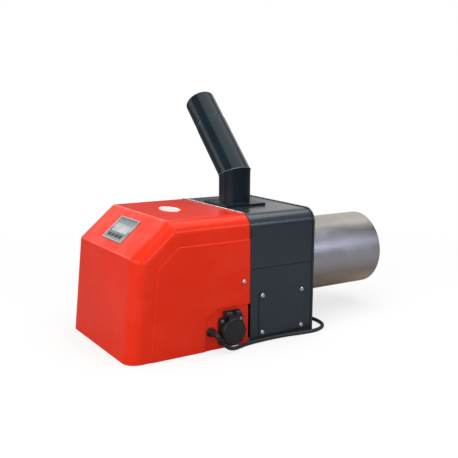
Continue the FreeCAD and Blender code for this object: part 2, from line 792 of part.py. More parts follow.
def socket_contacts():
    """Two earth springs standing on the well's floor."""
    well_floor = COLLAR_FACE - SOCKET_WELL
    made = []
    for side in (-1, 1):
        z_wall = SOCKET_Z + side * (SOCKET_WELL_R - FIT)
        z_in = SOCKET_Z + side * (SOCKET_WELL_R - EARTH_T)
        zs = sorted((z_wall, z_in))
        y0, y1 = SOCKET_Y - EARTH_WIDTH / 2, SOCKET_Y + EARTH_WIDTH / 2
        strip = box(well_floor - EARTH_HEIGHT / 2, well_floor + EARTH_HEIGHT, y0, y1, *zs)
        well = rod_x(SOCKET_WELL_R - FIT, well_floor, COLLAR_FACE, SOCKET_Y, SOCKET_Z)
        foot = box(well_floor - EARTH_HEIGHT / 2, well_floor, y0, y1, *zs)
        made.append(strip.common(well).fuse(foot).removeSplitter())
    return group(made)


def socket_lid():
    """Sprung cap with a skirt over the collar, a hinge barrel in two halves and a finger tab."""
    y, z = SOCKET_Y, SOCKET_Z
    back = COLLAR_FACE + LID_GAP
    face = back + LID_THICKNESS
    cap = rod_x(LID_R, back, face, y, z)
    rim = [e for e in cap.Edges if e.Closed and e.CenterOfMass.x > face - FIT]
    cap = cap.makeFillet(LID_EDGE_R, rim)
    skirt = rod_x(LID_R, back - LID_SKIRT, back + FIT, y, z)
    skirt = skirt.cut(rod_x(LID_R - LID_SKIRT_WALL, back - LID_SKIRT - PAST, back + PAST, y, z))
    clear = box(back - LID_SKIRT - PAST, back, y - LID_R, y + LID_R, z + LID_R / 2, z + 2 * LID_R)
    skirt = skirt.cut(clear)
    half = HINGE_WIDTH / 2 - EAR_THICKNESS - KNUCKLE_GAP
    tongue = box(HINGE_X, face - LID_EDGE_R, y - half, y + half, z + LID_R / 2, HINGE_Z)
    tongue = tongue.cut(box(HINGE_X - PAST, back, y - LID_R, y + LID_R, BASE_Z, z + LID_R + EDGE_R))
    barrel = rod_y(KNUCKLE_R, y - half, y + half, HINGE_X, HINGE_Z)
    tab_z = z - LID_R
    tab = box(
        face - TAB_THICKNESS,
        face + TAB_OUT - TAB_THICKNESS,
        y - TAB_WIDTH / 2,
        y + TAB_WIDTH / 2,
        tab_z + FIT,
        tab_z + TAB_HEIGHT,
    )
    lid = cap.fuse([skirt, tongue, barrel, tab]).removeSplitter()
    room = SPRING_HALF + KNUCKLE_GAP
    lid = lid.cut(rod_y(KNUCKLE_R + KNUCKLE_GAP, y - room, y + room, HINGE_X, HINGE_Z))
    return lid.cut(rod_y(PIN_R + FIT, y - half - PAST, y + half + PAST, HINGE_X, HINGE_Z))


def lid_hinge_pin():
    return rod_y(PIN_R, SOCKET_Y - HINGE_WIDTH / 2, SOCKET_Y + HINGE_WIDTH / 2, HINGE_X, HINGE_Z)


def lid_spring():
    """Torsion spring round the hinge pin."""
    radius = PIN_R + FIT + SPRING_WIRE_R + KNUCKLE_GAP
    length = 2 * SPRING_HALF - 2 * SPRING_WIRE_R
    helix = Part.makeHelix(length / SPRING_TURNS, length, radius)
    w = SPRING_WIRE_R
    corners = [V(radius + i * w, 0, j * w) for i, j in ((-1, -1), (1, -1), (1, 1), (-1, 1))]
    section = Part.makePolygon(corners + corners[:1])
    coil = Part.Wire(helix).makePipeShell([section], True, True)
    coil.rotate(V(0, 0, 0), X_DIR, -90)
    return moved(coil, HINGE_X, SOCKET_Y - length / 2, HINGE_Z)


def inlet_flange():
    plate = flat_block(
        FLANGE_SIDE, FLANGE_SIDE, TOP_Z, TOP_Z + FLANGE_THICKNESS, 0, PIPE_Y, FLANGE_CORNER_R
    )
    return plate.cut(rod_z(PIPE_R + FIT, TOP_Z - PAST, TOP_Z + PAST, 0, PIPE_Y))


def mitre_half(upper):
    """A large block on one side of the plane where the two legs of the feed pipe meet."""
    reach = PIPE_LENGTH + MITRE_HEIGHT + BODY_HEIGHT
    block = box(-reach, reach, -reach, reach, 0, reach)
    if not upper:
        block = moved(block, 0, 0, -reach)
    block.rotate(V(0, 0, 0), Y_DIR, -PIPE_LEAN / 2)
    return moved(block, 0, PIPE_Y, TOP_Z + MITRE_HEIGHT)


def lean_direction():
    lean = math.radians(PIPE_LEAN)
    return V(-math.sin(lean), 0, math.cos(lean))


def feed_pipe_lower():
    z0, z1 = TOP_Z - PIPE_DEPTH, TOP_Z + MITRE_HEIGHT + 2 * PIPE_R
    tube = rod_z(PIPE_R, z0, z1, 0, PIPE_Y)
    tube = tube.cut(rod_z(PIPE_R - PIPE_WALL, z0 - PAST, z1 + PAST, 0, PIPE_Y))
    return tube.cut(mitre_half(True))


def feed_pipe_upper():
    """Leaning leg of the feed pipe, with a slightly smaller seat for the hose at its open end."""
    along = lean_direction()
    knee = V(0, PIPE_Y, TOP_Z + MITRE_HEIGHT)
    start = knee - along * (2 * PIPE_R)
    length = PIPE_LENGTH + 2 * PIPE_R
    seat_r = PIPE_R - HOSE_SEAT_STEP
    seat_start = knee + along * (PIPE_LENGTH - HOSE_SEAT)
    plain = Part.makeCylinder(PIPE_R, length - HOSE_SEAT - HOSE_SEAT_TAPER, start, along)
    taper = Part.makeCone(PIPE_R, seat_r, HOSE_SEAT_TAPER, seat_start - along * HOSE_SEAT_TAPER, along)
    seat = Part.makeCylinder(seat_r, HOSE_SEAT, seat_start, along)
    bore = Part.makeCylinder(PIPE_R - PIPE_WALL, length + 2 * PAST, start - along * PAST, along)
    return plain.fuse([taper, seat]).removeSplitter().cut(bore).cut(mitre_half(False))


def drop_chute():
    """Collar round the feed pipe's lower end, a cone and a neck that saddles the auger tube."""
    top = TOP_Z - SHEET
    r_in = PIPE_R + FIT
    z1 = top - CHUTE_COLLAR
    z2 = SIGHT_RISE + SIGHT_TUBE_R + CHUTE_SIGHT_GAP
    inner = [(r_in, top), (r_in, z1), (CHUTE_NECK_R, z2), (CHUTE_NECK_R, AUGER_Z)]
    outer = [(r + CHUTE_WALL, z) for r, z in reversed(inner)]
    chute = revolve_z(inner + outer, 0, PIPE_Y)
    reach = CHUTE_NECK_R + PAST
    return chute.cut(rod_y(AUGER_TUBE_R + FIT, PIPE_Y - reach, PIPE_Y + reach, 0, AUGER_Z))


def auger_tube():
    tube = pipe_y(AUGER_TUBE_R, AUGER_TUBE_WALL, BULKHEAD_REAR_Y, AUGER_TUBE_REACH, 0, AUGER_Z)
    return tube.cut(rod_z(CHUTE_NECK_R, AUGER_Z, AUGER_Z + AUGER_TUBE_R + PAST, 0, PIPE_Y))


def drive_pin_hole():
    reach = SCREW_CORE_R + FIT
    y = SCREW_START_Y + DRIVE_PIN_Y
    return rod_z(DRIVE_PIN_R + FIT / 2, AUGER_Z - reach, AUGER_Z + reach, 0, y)


def auger_screw():
    """Helical flight on a core tube, carried by the drive shaft at its rear end."""
    core = rod_y(SCREW_CORE_R, SCREW_START_Y, SCREW_END_Y, 0, AUGER_Z)
    length = SCREW_END_Y - SCREW_START_Y - FLIGHT_THICKNESS
    root = SCREW_CORE_R - FLIGHT_ROOT
    helix = Part.makeHelix(SCREW_PITCH, length, root)
    half = FLIGHT_THICKNESS / 2
    rim = SCREW_OUTER_R
    corners = [V(root, 0, -half), V(rim, 0, -half), V(rim, 0, half), V(root, 0, half)]
    section = Part.makePolygon(corners + corners[:1])
    flight = Part.Wire(helix).makePipeShell([section], True, True)
    flight.rotate(V(0, 0, 0), X_DIR, -90)
    flight = moved(flight, 0, SCREW_START_Y + half, AUGER_Z)
    screw = core.fuse(flight)
    socket_end = SCREW_START_Y + DRIVE_SHAFT_IN
    screw = screw.cut(rod_y(DRIVE_SHAFT_R + FIT / 2, SCREW_START_Y - PAST, socket_end, 0, AUGER_Z))
    return screw.cut(drive_pin_hole())


def drive_shaft():
    y0 = BULKHEAD_Y - SHAFT_BLIND + KNUCKLE_GAP
    shaft = rod_y(DRIVE_SHAFT_R, y0, SCREW_START_Y + DRIVE_SHAFT_IN - KNUCKLE_GAP, 0, AUGER_Z)
    return shaft.cut(drive_pin_hole())


def drive_pin():
    y = SCREW_START_Y + DRIVE_PIN_Y
    return rod_z(DRIVE_PIN_R, AUGER_Z - SCREW_CORE_R, AUGER_Z + SCREW_CORE_R, 0, y)


def shaft_bushing():
    bush = rod_y(BUSH_R, BULKHEAD_Y - BUSH_DEPTH, BULKHEAD_REAR_Y, 0, AUGER_Z)
    flange = rod_y(BUSH_FLANGE_R, BULKHEAD_REAR_Y, BUSH_FACE_Y, 0, AUGER_Z)
    bush = bush.fuse(flange).removeSplitter()
    return bush.cut(rod_y(DRIVE_SHAFT_R + FIT, BULKHEAD_Y - BUSH_DEPTH - PAST, PAST, 0, AUGER_Z))


def gearbox():
    z_low = AUGER_Z - GEARBOX_DROP
    half = GEARBOX_WIDTH / 2
    face = BULKHEAD_Y
    block = box(-half, half, face - GEARBOX_DEPTH, face, z_low, z_low + GEARBOX_HEIGHT)
    block = block.makeFillet(GEARBOX_EDGE_R, edges_along(block, Y_DIR, lambda p: True))
    block = block.cut(rod_y(BUSH_R + FIT, face - BUSH_DEPTH - FIT, face + PAST, 0, AUGER_Z))
    block = block.cut(rod_y(DRIVE_SHAFT_R + FIT, face - SHAFT_BLIND, face, 0, AUGER_Z))
    for x, z in gear_screw_places():
        block = block.cut(rod_y(SCREW_R, face - SCREW_LENGTH, face + PAST, x, z))
    return block


def gearbox_screws():
    screw = pan_screw(Y_DIR)
    return group([moved(screw, x, BULKHEAD_REAR_Y, z) for x, z in gear_screw_places()])


def auger_motor():
    y1 = BULKHEAD_Y - GEARBOX_DEPTH
    y0 = y1 - MOTOR_LENGTH
    z = AUGER_Z + MOTOR_RISE
    can = rod_y(MOTOR_R, y0, y1, 0, z)
    rim = [e for e in can.Edges if e.Closed and e.CenterOfMass.y < y0 + FIT]
    can = can.makeChamfer(MOTOR_CAP_R, rim)
    band = rod_y(MOTOR_R + MOTOR_BAND, y1 - MOTOR_LENGTH / 2, y1 - MOTOR_BAND, 0, z)
    return can.fuse(band).removeSplitter()


def scroll_face(inset, outlet_y):
    """Fan scroll from quarter arcs whose centres step round a small square."""
    a, r = SCROLL_STEP, SCROLL_R - inset

    def at(cy, cz, radius, degrees):
        t = math.radians(degrees)
        return V(0, FAN_Y + cy + radius * math.cos(t), FAN_Z + cz + radius * math.sin(t))

    tongue = at(0, 0, r, TONGUE_ANGLE)
    top = at(0, 0, r, 90)
    front = at(0, -a, r + a, 180)
    bottom = at(a, -a, r + 2 * a, 270)
    far_low = V(0, outlet_y, bottom.z)
    far_high = V(0, outlet_y, tongue_z() - inset)
    near_high = V(0, tongue.y, far_high.z)
    edges = [
        Part.Arc(tongue, at(0, 0, r, 45), top).toShape(),
        Part.Arc(top, at(0, -a, r + a, 135), front).toShape(),
        Part.Arc(front, at(a, -a, r + 2 * a, 225), bottom).toShape(),
        Part.makeLine(bottom, far_low),
        Part.makeLine(far_low, far_high),
        Part.makeLine(far_high, near_high),
    ]
    if (near_high - tongue).Length > FIT:
        edges.append(Part.makeLine(near_high, tongue))
    else:
        edges[-1] = Part.makeLine(far_high, tongue)
    return Part.Face(Part.Wire(edges))


def fan_housing():
    shell = scroll_face(0, BULKHEAD_Y).extrude(V(FAN_WIDTH, 0, 0))
    shell = moved(shell, FAN_LEFT, 0, 0)
    flange = box(
        FAN_LEFT - FAN_FLANGE,
        FAN_RIGHT + FAN_FLANGE,
        BULKHEAD_Y - FAN_FLANGE_T,
        BULKHEAD_Y,
        scroll_bottom() - FAN_FLANGE,
        tongue_z() + FAN_FLANGE,
    )
    hollow = scroll_face(FAN_WALL, BULKHEAD_Y + PAST).extrude(V(FAN_WIDTH - 2 * FAN_WALL, 0, 0))
    shell = shell.fuse(flange).removeSplitter().cut(moved(hollow, FAN_LEFT + FAN_WALL, 0, 0))
    shell = shell.cut(rod_x(FAN_INLET_R, FAN_RIGHT - PAST, FAN_RIGHT + PAST, FAN_Y, FAN_Z))
    gap_r = FAN_SHAFT_R + FAN_SHAFT_GAP
    shell = shell.cut(rod_x(gap_r, FAN_LEFT - PAST, FAN_CENTRE_X, FAN_Y, FAN_Z))
    for x, z in fan_screw_places():
        shell = shell.cut(rod_y(SCREW_R + FIT, BULKHEAD_Y - PAST, BULKHEAD_Y + PAST, x, z))
    return shell


def fan_screws():
    screw = pan_screw(Y_DIR * -1)
    return group([moved(screw, x, BULKHEAD_Y - FAN_FLANGE_T, z) for x, z in fan_screw_places()])


def impeller_span():
    return FAN_LEFT + FAN_WALL + IMPELLER_GAP, FAN_RIGHT - FAN_WALL - IMPELLER_GAP


def blade():
    """One forward curved blade, a thin arc between the inner and outer radius."""
    x0, x1 = impeller_span()
    inner, outer = IMPELLER_INNER_R, IMPELLER_R - BLADE_T
    middle = (inner + outer) / 2

    def arc(shift, camber):
        return V(x0, inner, shift), V(x0, middle, shift - camber), V(x0, outer, shift)

    a0, a1, a2 = arc(0, BLADE_CAMBER)
    b0, b1, b2 = arc(BLADE_T, BLADE_CAMBER)
    edges = [
        Part.Arc(a0, a1, a2).toShape(),
        Part.makeLine(a2, b2),
        Part.Arc(b2, b1, b0).toShape(),
        Part.makeLine(b0, a0),
    ]
    return Part.Face(Part.Wire(edges)).extrude(V(x1 - x0, 0, 0))


def fan_impeller():
    x0, x1 = impeller_span()
    disc = rod_x(IMPELLER_R, x0, x0 + IMPELLER_DISC, 0, 0)
    ring = rod_x(IMPELLER_R, x1 - IMPELLER_DISC, x1, 0, 0)
    ring = ring.cut(rod_x(IMPELLER_INNER_R, x0, x1 + PAST, 0, 0))
    hub = rod_x(FAN_HUB_R, x0, (x0 + x1) / 2, 0, 0)
    blades = []
    for i in range(BLADE_COUNT):
        one = blade()
        one.rotate(V(0, 0, 0), X_DIR, 360.0 * i / BLADE_COUNT)
        blades.append(one)
    wheel = disc.fuse([ring, hub] + blades).removeSplitter()
    wheel = wheel.cut(rod_x(FAN_SHAFT_R + FIT / 2, x0 - PAST, x1 + PAST, 0, 0))
    return moved(wheel, 0, FAN_Y, FAN_Z)


def fan_shaft():
    x0, x1 = impeller_span()
    return rod_x(FAN_SHAFT_R, FAN_SHAFT_END, (x0 + x1) / 2, FAN_Y, FAN_Z)


def fan_motor():
    can = rod_x(FAN_MOTOR_R, FAN_MOTOR_END, FAN_LEFT, FAN_Y, FAN_Z)
    rim = [e for e in can.Edges if e.Closed and e.CenterOfMass.x < FAN_MOTOR_END + FIT]
    can = can.makeChamfer(MOTOR_CAP_R, rim)
    deep = FAN_SHAFT_END - KNUCKLE_GAP
    return can.cut(rod_x(FAN_SHAFT_R + FIT, deep, FAN_LEFT + PAST, FAN_Y, FAN_Z))


def small_tube(radius, x, z):
    y0 = BULKHEAD_Y - TUBE_REAR
    return pipe_y(radius, SMALL_TUBE_WALL, y0, AUGER_TUBE_REACH, x, z)


def tube_plug(radius, tail, bore_r, x, z):
    """A flanged holder pushed into the rear end of a small tube."""
    y0 = BULKHEAD_Y - TUBE_REAR
    plug = rod_y(radius - SMALL_TUBE_WALL - FIT, y0, y0 + HOLDER_DEPTH, x, z)
    plug = plug.fuse(rod_y(radius + HOLDER_FLANGE / 2, y0 - tail, y0, x, z)).removeSplitter()
    if bore_r > 0:
        deep = y0 - tail + HOLDER_FLANGE / 2
        plug = plug.cut(rod_y(bore_r, deep, y0 + HOLDER_DEPTH + PAST, x, z))
    return plug


def igniter_tube():
    return small_tube(IGNITER_TUBE_R, IGNITER_X, IGNITER_Z)


def igniter_holder():
    return tube_plug(IGNITER_TUBE_R, HOLDER_FLANGE, IGNITER_ROD_R + FIT, IGNITER_X, IGNITER_Z)


def igniter_rod():
    y0 = BULKHEAD_Y - TUBE_REAR - HOLDER_FLANGE / 2
    rod = rod_y(IGNITER_ROD_R, y0, AUGER_TUBE_REACH - SCREW_END_GAP, IGNITER_X, IGNITER_Z)
    tip = [e for e in rod.Edges if e.Closed and e.CenterOfMass.y > 0]
    return rod.makeChamfer(IGNITER_ROD_R / 2, tip)


def sight_tube():
    return small_tube(SIGHT_TUBE_R, SIGHT_X, SIGHT_RISE)


def flame_sensor():
    return tube_plug(SIGHT_TUBE_R, SENSOR_TAIL, 0, SIGHT_X, SIGHT_RISE)


def burner_tube():
    return pipe_y(TUBE_R, TUBE_WALL, 0, TUBE_LENGTH, 0, 0)


def combustion_chamber():
    """Fire pot with a back wall and rings of air holes round its lower side."""
    y0, y1 = CHAMBER_START, CHAMBER_END
    pot = rod_y(CHAMBER_R, y0, y1, 0, 0)
    pot = pot.cut(rod_y(CHAMBER_R - CHAMBER_WALL, y0 + CHAMBER_WALL, y1 + PAST, 0, 0))
    pot = pot.cut(rod_y(AUGER_TUBE_R + FIT, y0 - PAST, y0 + PAST, 0, AUGER_Z))
    pot = pot.cut(rod_y(IGNITER_TUBE_R + FIT, y0 - PAST, y0 + PAST, IGNITER_X, IGNITER_Z))
    pot = pot.cut(rod_y(SIGHT_TUBE_R + FIT, y0 - PAST, y0 + PAST, SIGHT_X, SIGHT_RISE))
    holes = []
    first, last = y0 + AIR_FIRST, y1 - AIR_MOUTH
    for ring in range(AIR_RINGS):
        y = first + ring * (last - first) / (AIR_RINGS - 1)
        for i in range(AIR_PER_RING):
            turn = math.radians(AIR_ARC * (i / (AIR_PER_RING - 1) - 0.5))
            out = V(math.sin(turn), 0, -math.cos(turn))
            start = V(0, y, 0) + out * (CHAMBER_R - 2 * CHAMBER_WALL)
            holes.append(Part.makeCylinder(AIR_HOLE_R, 3 * CHAMBER_WALL, start, out))
    return pot.cut(holes)


def grate():
    """Slotted floor across the lower part of the fire pot."""
    inner = CHAMBER_R - CHAMBER_WALL - FIT
    low = GRATE_Z - GRATE_THICKNESS
    half = math.sqrt(inner * inner - low * low)
    y0, y1 = CHAMBER_START + CHAMBER_WALL, CHAMBER_END - RING_BACK
    plate = box(-half, half, y0, y1, low, GRATE_Z)
    pitch = (y1 - y0 - 2 * GRATE_MARGIN) / (GRATE_SLOTS - 1)
    for i in range(GRATE_SLOTS):
        y = y0 + GRATE_MARGIN + i * pitch
        slot = flat_block(
            GRATE_SLOT_LENGTH, GRATE_SLOT_WIDTH, low - PAST, PAST, 0, y, GRATE_SLOT_WIDTH / 2 - FIT
        )
        plate = plate.cut(slot)
    return plate


def mouth_ring():
    """Ring that centres the fire pot in the tube's mouth, with air ports."""
    y1 = CHAMBER_END - RING_BACK
    ring = rod_y(TUBE_R - TUBE_WALL - FIT, y1 - RING_THICKNESS, y1, 0, 0)
    ring = ring.cut(rod_y(CHAMBER_R + FIT, 0, TUBE_LENGTH, 0, 0))
    for x, z in port_places():
        ring = ring.cut(rod_y(PORT_R, 0, TUBE_LENGTH, x, z))
    return ring


def key_places():
    return [(i - (KEY_COUNT - 1) / 2) * KEY_PITCH for i in range(KEY_COUNT)]


def display_bezel():
    plate = flat_block(BEZEL_WIDTH, BEZEL_HEIGHT, 0, BEZEL_PROUD, radius=BEZEL_CORNER_R)
    rim = [e for e in plate.Edges if e.BoundBox.ZMin > BEZEL_PROUD - FIT]
    plate = plate.makeChamfer(BEZEL_PROUD / 2, rim)
    width = BEZEL_WIDTH - 2 * BEZEL_LIP - 2 * FIT
    height = BEZEL_HEIGHT - 2 * BEZEL_LIP - 2 * FIT
    skirt = flat_block(width, height, -BEZEL_DEPTH, 0)
    wall = 2 * BEZEL_WALL
    skirt = skirt.cut(flat_block(width - wall, height - wall, -BEZEL_DEPTH - PAST, 0))
    frame = plate.fuse(skirt).removeSplitter()
    frame = frame.cut(flat_block(LCD_WIDTH, LCD_HEIGHT, -FIT, BEZEL_PROUD + PAST, 0, LCD_RISE))
    for x in key_places():
        opening = flat_block(
            KEY_WIDTH + 2 * KEY_GAP, KEY_HEIGHT + 2 * KEY_GAP, -FIT, BEZEL_PROUD + PAST, x, -KEY_DROP
        )
        frame = frame.cut(opening)
    return on_slope(frame)


def lcd_lens():
    width, height = LCD_WIDTH - 2 * KEY_GAP, LCD_HEIGHT - 2 * KEY_GAP
    glass = flat_block(width, height, -FIT, BEZEL_PROUD - LCD_RECESS, 0, LCD_RISE)
    width, height = LCD_WIDTH + 2 * LCD_LIP, LCD_HEIGHT + 2 * LCD_LIP
    lip = flat_block(width, height, -LCD_LIP_T, 0, 0, LCD_RISE)
    return on_slope(glass.fuse(lip).removeSplitter())


def button(index):
    x = key_places()[index]
    low = -BEZEL_DEPTH + KEY_TRAVEL + KEY_REST_GAP
    cap = flat_block(KEY_WIDTH, KEY_HEIGHT, low, BEZEL_PROUD + KEY_PROUD, x, -KEY_DROP)
    rim = [e for e in cap.Edges if e.BoundBox.ZMin > BEZEL_PROUD]
    cap = cap.makeFillet(KEY_PROUD / 2, rim)
    lip = flat_block(
        KEY_WIDTH + 2 * KEY_LIP,
        KEY_HEIGHT + 2 * KEY_LIP,
        -KEY_REST_GAP - KEY_LIP_T,
        -KEY_REST_GAP,
        x,
        -KEY_DROP,
    )
    return on_slope(cap.fuse(lip).removeSplitter())


def control_board():
    board = flat_block(
        BEZEL_WIDTH + 2 * BOARD_MARGIN,
        BEZEL_HEIGHT + BOARD_MARGIN,
        -BEZEL_DEPTH - BOARD_THICKNESS,
        -BEZEL_DEPTH,
    )
    return on_slope(board)


def board_parts():
    """A row of relays under the board."""
    top = -BEZEL_DEPTH - BOARD_THICKNESS
    made = []
    for i in (-1, 0, 1):
        relay = flat_block(RELAY_SIDE, RELAY_SIDE, top - RELAY_HEIGHT, top, i * RELAY_PITCH, 0)
        made.append(on_slope(relay))
    return group(made)


def terminal_block():
    """Wiring terminals on the tray's floor in front of the gear motor."""
    y1 = BULKHEAD_Y - GEARBOX_DEPTH - MOTOR_LENGTH
    half = TERMINAL_LENGTH / 2
    y0 = y1 - TERMINAL_DEPTH
    block = box(-half, half, y0, y1, FLOOR_Z, FLOOR_Z + TERMINAL_HEIGHT)
    pitch = TERMINAL_LENGTH / TERMINAL_POLES
    for i in range(TERMINAL_POLES):
        x = -half + (i + 0.5) * pitch
        top = FLOOR_Z + TERMINAL_HEIGHT
        block = block.cut(rod_z(SCREW_R, top - TERMINAL_SCREW_DEPTH, top + PAST, x, (y0 + y1) / 2))
    return block


def cable_gland():
    """Strain relief: rounded flange outside the panel, tapered tip, and a neck for its nut."""
    bore = CORD_R + FIT
    tip_r = CORD_R + RELIEF_WALL
    points = [
        (HOOD_IN - GLAND_TAIL, bore),
        (GLAND_END, bore),
        (GLAND_END, tip_r),
        (PANEL_OUT + GLAND_FLANGE, GLAND_FLANGE_R - EDGE_R),
        (PANEL_OUT + GLAND_FLANGE / 2, GLAND_FLANGE_R),
        (PANEL_OUT, GLAND_FLANGE_R),
        (PANEL_OUT, GLAND_NECK_R),
        (HOOD_IN - GLAND_TAIL, GLAND_NECK_R),
    ]
    return revolve_x(points, GLAND_Y, GLAND_Z)


def gland_nut():
    radius = GLAND_NUT_AF / math.sqrt(3)
    x0 = HOOD_IN - GLAND_NUT
    corners = []
    for i in range(6):
        t = math.radians(60 * i)
        corners.append(V(x0, GLAND_Y + radius * math.cos(t), GLAND_Z + radius * math.sin(t)))
    nut = Part.Face(Part.makePolygon(corners + corners[:1])).extrude(V(GLAND_NUT, 0, 0))
    return nut.cut(rod_x(GLAND_NECK_R + FIT, x0 - PAST, HOOD_IN + PAST, GLAND_Y, GLAND_Z))


ARC_SHARE = 0.45
LIE_Z = BASE_Z + CORD_R + FIT

LEAD_POINTS = [
    V(GLAND_END, GLAND_Y, GLAND_Z),
    V(149.8, -220.6, -83.8),
    V(154.5, -216.5, -91.5),
    V(156.0, -208.5, -101.5),
    V(154.0, -196.5, -109.3),
    V(148.5, -181.0, LIE_Z),
    V(139.5, -156.0, LIE_Z),
    V(135.8, -118.0, LIE_Z),
    V(135.6, -70.0, LIE_Z),
    V(141.5, -33.0, LIE_Z),
    V(144.5, 2.5, LIE_Z),
    V(127.5, 32.5, LIE_Z),
    V(95.0, 42.0, LIE_Z),
    V(58.0, 36.5, LIE_Z),
    V(20.0, 25.0, LIE_Z),
    V(-15.0, 13.0, LIE_Z),
]

TAIL_POINTS = [
    V(-33.0, 8.5, LIE_Z + 13.4),
    V(-47.0, 5.6, LIE_Z + 14.2),
    V(-61.0, 7.0, LIE_Z + 14.5),
    V(-76.0, 14.5, LIE_Z + 14.8),
    V(PLUG_X, PLUG_CLEAR_Y, PLUG_Z),
]


def route(points):
    """Straight runs joined by tangent arcs, each as large as its two runs allow."""
    edges = []
    radii = []
    start = points[0]
    for a, b, c in zip(points, points[1:], points[2:]):
        before, after = b - a, c - b
        turn = before.getAngle(after)
        back = ARC_SHARE * min(before.Length, after.Length)
        radius = back / math.tan(turn / 2)
        radii.append(round(radius, 1))
        into, out = V(before), V(after)
        into.normalize()
        out.normalize()
        p0, p1 = b - into * back, b + out * back
        inward = out - into
        inward.normalize()
        centre = b + inward * (radius / math.cos(turn / 2))
        middle = centre - inward * radius
        edges.append(Part.makeLine(start, p0))
        edges.append(Part.Arc(p0, middle, p1).toShape())
        start = p1
    edges.append(Part.makeLine(start, points[-1]))
    return Part.Wire(edges), radii


def cord_tube(points):
    path, radii = route(points)
    direction = points[1] - points[0]
    section = Part.Wire(Part.makeCircle(CORD_R, points[0], direction))
    tube = path.makePipeShell([section], True, False)
    share = tube.Volume / (math.pi * CORD_R**2 * path.Length)
    print("cord run of", round(path.Length, 1), "mm, radii", radii)
    print("volume over section times length", round(share, 4))
    return tube


def mains_cord():
    return group([cord_tube(LEAD_POINTS), cord_tube(TAIL_POINTS)])


def cord_coil():
    r0, r1 = COIL_R - COIL_HALF_WIDTH, COIL_R + COIL_HALF_WIDTH
    z0, z1 = BASE_Z + TIE_T, BASE_Z + TIE_T + COIL_TOP
    ring = revolve_z([(r0, z0), (r1, z0), (r1, z1), (r0, z1)], COIL_X, COIL_Y)
    rims = [e for e in ring.Edges if e.Closed and e.BoundBox.ZLength < FIT]
    return ring.makeChamfer(CORD_R / 2, rims)


def coil_tie():
    """Strap round the coil's turns."""
    x0, x1 = COIL_X - TIE_WIDTH / 2, COIL_X + TIE_WIDTH / 2
    y0 = COIL_Y + COIL_R - COIL_HALF_WIDTH - TIE_T
    y1 = COIL_Y + COIL_R + COIL_HALF_WIDTH + TIE_T
    z1 = BASE_Z + 2 * TIE_T + COIL_TOP
    strap = box(x0, x1, y0, y1, BASE_Z, z1)
    strap = strap.makeFillet(CORD_R / 2, edges_along(strap, X_DIR, lambda p: True))
    return strap.cut(cord_coil())


def mains_plug():
    """Round plug lying on its side, with a tapered strain relief and a grip waist."""
    x0 = PLUG_X
    x1 = x0 - PLUG_RELIEF
    x2 = x1 - PLUG_BODY
    points = [
        (x0, 0),
        (x0, CORD_R + RELIEF_WALL),
        (x1, CORD_R + 3 * RELIEF_WALL),
        (x1 - PLUG_BODY / 4, PLUG_WAIST_R),
        (x1 - PLUG_BODY / 2, PLUG_GRIP_R),
        (x2 + PLUG_HEAD, PLUG_R),
        (x2, PLUG_R),
        (x2, 0),
    ]
    return revolve_x(points, PLUG_CLEAR_Y, PLUG_Z)


def plug_pins():
    x1 = PLUG_X - PLUG_RELIEF - PLUG_BODY
    made = []
    for side in (-1, 1):
        y = PLUG_CLEAR_Y + side * CONTACT_SPACING / 2
        pin = rod_x(PLUG_PIN_R, x1 - PLUG_PIN_LENGTH, x1, y, PLUG_Z)
        end = x1 - PLUG_PIN_LENGTH
        tip = [e for e in pin.Edges if e.Closed and e.CenterOfMass.x < end + FIT]
        made.append(pin.makeChamfer(PLUG_PIN_R / 2, tip))
    return group(made)


PARTS = [
    base_tray,
    bulkhead_plate,
    lower_housing,
    upper_cover,
    rear_plate,
    service_hatch,
    hatch_screws,
    red_hood,
    hood_brackets,
    hood_screws,
    socket_panel,
    socket_body,
    socket_contacts,
    socket_screws,
    socket_lid,
    lid_hinge_pin,
    lid_spring,
    cable_gland,
    gland_nut,
    mains_cord,
    cord_coil,
    coil_tie,
    mains_plug,
    plug_pins,
    inlet_flange,
    feed_pipe_lower,
    feed_pipe_upper,
    drop_chute,
    auger_tube,
    auger_screw,
    drive_shaft,
    drive_pin,
    shaft_bushing,
    gearbox,
    gearbox_screws,
    auger_motor,
    fan_housing,
    fan_screws,
    fan_impeller,
    fan_shaft,
    fan_motor,
    igniter_tube,
    igniter_holder,
    igniter_rod,
    sight_tube,
    flame_sensor,
    burner_tube,
    combustion_chamber,
    grate,
    mouth_ring,
    display_bezel,
    lcd_lens,
    control_board,
    board_parts,
    terminal_block,
]

os.makedirs("parts", exist_ok=True)
for make in PARTS:
    export(make.__name__, make())
for number in range(KEY_COUNT):
    export("button_" + str(number + 1), button(number))
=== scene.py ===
import math

import bmesh
import bpy
from mathutils import Matrix, Vector


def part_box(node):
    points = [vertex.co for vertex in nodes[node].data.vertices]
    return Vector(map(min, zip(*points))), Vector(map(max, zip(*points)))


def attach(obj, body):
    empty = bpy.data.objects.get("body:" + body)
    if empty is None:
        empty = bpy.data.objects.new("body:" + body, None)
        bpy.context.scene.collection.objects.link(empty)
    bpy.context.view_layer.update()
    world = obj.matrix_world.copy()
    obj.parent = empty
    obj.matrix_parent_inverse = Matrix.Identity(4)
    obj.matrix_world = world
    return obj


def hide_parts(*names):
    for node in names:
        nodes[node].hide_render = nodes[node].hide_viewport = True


# Pellet burner. Lengths are in metres in the row frame: +Y along the burner
# tube, +Z up, +X the socket side, origin on the tube's axis at the rear plate.

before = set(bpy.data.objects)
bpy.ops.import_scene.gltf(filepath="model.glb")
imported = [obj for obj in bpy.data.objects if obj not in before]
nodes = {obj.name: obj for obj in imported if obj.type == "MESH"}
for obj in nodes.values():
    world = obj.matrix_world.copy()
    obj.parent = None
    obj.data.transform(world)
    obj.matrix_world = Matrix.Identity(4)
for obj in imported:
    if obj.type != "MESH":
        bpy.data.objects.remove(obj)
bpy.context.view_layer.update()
ROOT = "body"

